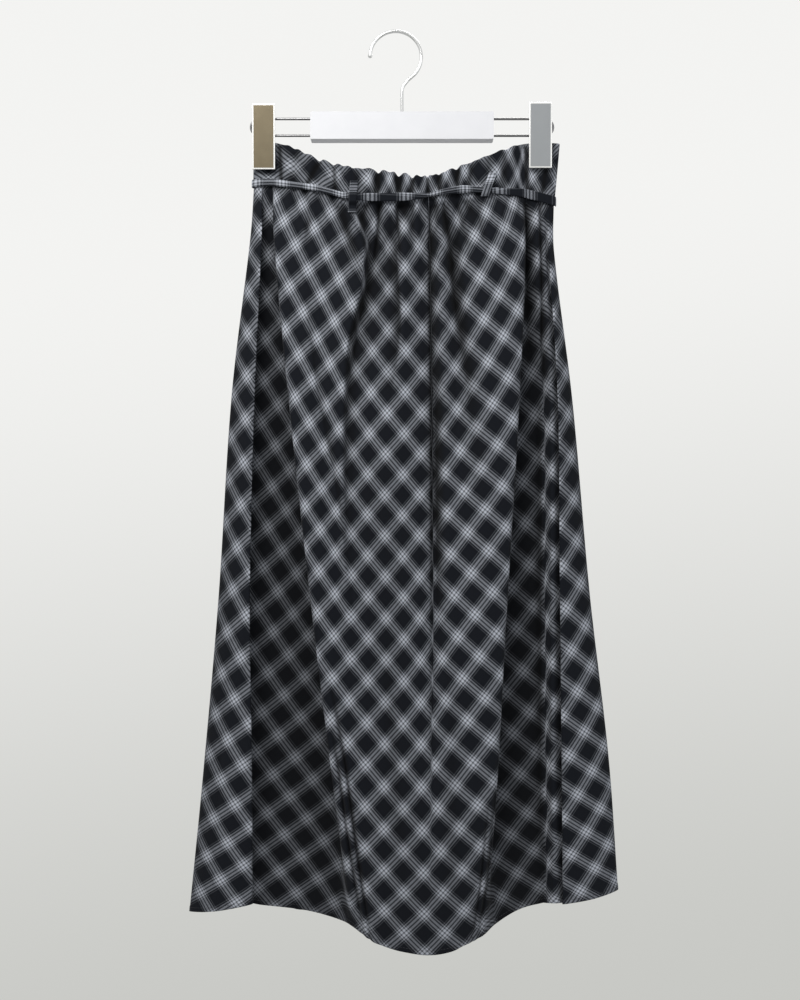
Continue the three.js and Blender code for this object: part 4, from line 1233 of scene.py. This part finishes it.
def clip_plate(name, size, place, tilt, edge, material):
    """Pressed sheet metal with rounded corners and a rolled front edge; size across, through, up."""
    bm = bmesh.new()
    bmesh.ops.create_cube(bm, size=1, matrix=Matrix.Diagonal((*(value * MM for value in size), 1)))
    upright = [e for e in bm.edges if abs(e.verts[0].co.y - e.verts[1].co.y) > size[1] * MM / 2]
    bmesh.ops.bevel(bm, geom=upright, offset=edge * MM, segments=4, profile=0.5, affect="EDGES", material=-1)
    front = [e for e in bm.edges if all(v.co.y < -size[1] * MM / 2 + 1e-6 for v in e.verts)]
    bmesh.ops.bevel(bm, geom=front, offset=edge * MM, segments=4, profile=0.5, affect="EDGES", material=-1)
    bmesh.ops.transform(bm, verts=bm.verts, matrix=Matrix.Translation(place) @ Matrix.Rotation(tilt, 4, "X"))
    largest = size[0] * size[2] * MM * MM / 2
    for face in bm.faces:
        face.smooth = face.calc_area() < largest
    piece = new_piece(name, bm)
    dress(piece, material)
    return piece


def clip_cover(name, x, top, material):
    """Bright folded cover, with a darker flat face set in its front."""
    tilt = math.atan2(CLIP["cover_low_y"] - CLIP["cover_top_y"], CLIP["height"])
    depth = (CLIP["cover_top_y"] + CLIP["cover_low_y"]) / 2
    middle = Vector(in_metres(np.array([x, depth, top - CLIP["height"] / 2])))
    size = (CLIP["width"], CLIP["cover"], CLIP["height"])
    cover = clip_plate(name + "_rim", size, middle, tilt, CLIP_CORNER, RIM)
    out = Matrix.Rotation(tilt, 3, "X") @ Vector((0, -1, 0))
    front = middle + out * (CLIP["cover"] / 2 - CLIP_FACE_SUNK) * MM
    face = (CLIP["width"] - 2 * CLIP_RIM, CLIP_FACE, CLIP["height"] - 2 * CLIP_RIM)
    clip_plate(name + "_face", face, front, tilt, CLIP_FACE_CORNER, material)
    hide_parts(name)


def finish_node(name, material):
    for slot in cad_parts[name].material_slots:
        slot.material = material


RING = waist_ring(BAND_DENSITY)
PANELS = {-1: (FRONT, columns(FRONT, PANEL_DENSITY)), 1: (BACK, columns(BACK, PANEL_DENSITY))}
waistband(RING)
belt()
for side, loops in LOOPS.items():
    for loop in loops:
        belt_loop(side, *loop, RING, PANELS[side])
hem_stitches("hem_stitches_front", -1, *PANELS[-1])
hem_stitches("hem_stitches_back", 1, *PANELS[1])
hook()
rods("hanger_rods_left", -1)
rods("hanger_rods_right", 1)
clip_cover("clip_left_cover", -CLIP["x"], CLIP_LEFT_TOP, CLIP_FACE_WARM_REFLECTION)
clip_cover("clip_right_cover", CLIP["x"], CLIP_RIGHT_TOP, CLIP_FACE_COOL_REFLECTION)
finish_node("hanger_bar", WHITE)
finish_node("clip_left_body", CHROME)
finish_node("clip_right_body", CHROME)


# ---- stage -----------------------------------------------------------------------------------------
# Name, place, aim, size, power, colour.
LIGHTS = [
    ("key", (-0.50, -1.0, 0.70), (0, 0, -0.45), (0.8, 0.6), 20, (1, 0.985, 0.96)),
    ("fill", (1.6, -1.2, -0.2), (0, 0, -0.5), (1.0, 1.4), 5, (0.95, 0.97, 1)),
    ("behind", (0.5, 1.5, 1.6), (0, 0, -0.5), (1.0, 1.0), 30, (1, 0.985, 0.96)),
]


def add_light(name, place, aim, size, power, colour):
    data = bpy.data.lights.new(name, "AREA")
    data.energy = power
    data.color = colour
    data.shape = "RECTANGLE"
    data.size, data.size_y = size
    lamp = bpy.data.objects.new(name, data)
    lamp.location = place
    lamp.rotation_euler = (Vector(aim) - Vector(place)).to_track_quat("-Z", "Y").to_euler()
    bpy.context.scene.collection.objects.link(lamp)


def pale_room():
    """Plain pale surroundings, a little darker low down and to the right as painted shade; they light the
    object softly.
    """
    world = bpy.data.worlds.new("pale_room")
    world.use_nodes = True
    nodes, links = world.node_tree.nodes, world.node_tree.links
    background = nodes["Background"]
    place = nodes.new("ShaderNodeTexCoord")
    split = nodes.new("ShaderNodeSeparateXYZ")
    links.new(place.outputs["Generated"], split.inputs[0])
    aside = math_node(nodes, links, "MULTIPLY", split.outputs[0], -0.10)
    slope = math_node(nodes, links, "MULTIPLY_ADD", split.outputs[2], 0.9, aside)
    spread = range_node(nodes, links, slope, 0, 1, -0.40, 0.22, "SMOOTHSTEP")
    seen = mix_node(nodes, links, spread, (0.57, 0.575, 0.55, 1), (0.90, 0.90, 0.885, 1))
    rays = nodes.new("ShaderNodeLightPath").outputs
    direct = math_node(nodes, links, "MAXIMUM", rays["Is Camera Ray"], rays["Is Glossy Ray"])
    lighting = mix_node(nodes, links, direct, (0.36, 0.365, 0.375, 1), seen)
    links.new(lighting, background.inputs[0])
    background.inputs[1].default_value = 1
    return world


def add_stage():
    bpy.context.scene.view_settings.view_transform = "Standard"
    bpy.context.scene.world = pale_room()
    bm = bmesh.new()
    bmesh.ops.create_grid(bm, x_segments=8, y_segments=8, size=1.15)
    bmesh.ops.translate(bm, verts=bm.verts, vec=(0, 0, -1.5))
    floor = new_piece("floor", bm)
    material, _, _, shader = new_material("pale_floor")
    shader.inputs["Base Color"].default_value = (0.8, 0.8, 0.79, 1)
    shader.inputs["Roughness"].default_value = 0.9
    floor.data.materials.append(material)
    for light in LIGHTS:
        add_light(*light)


add_stage()
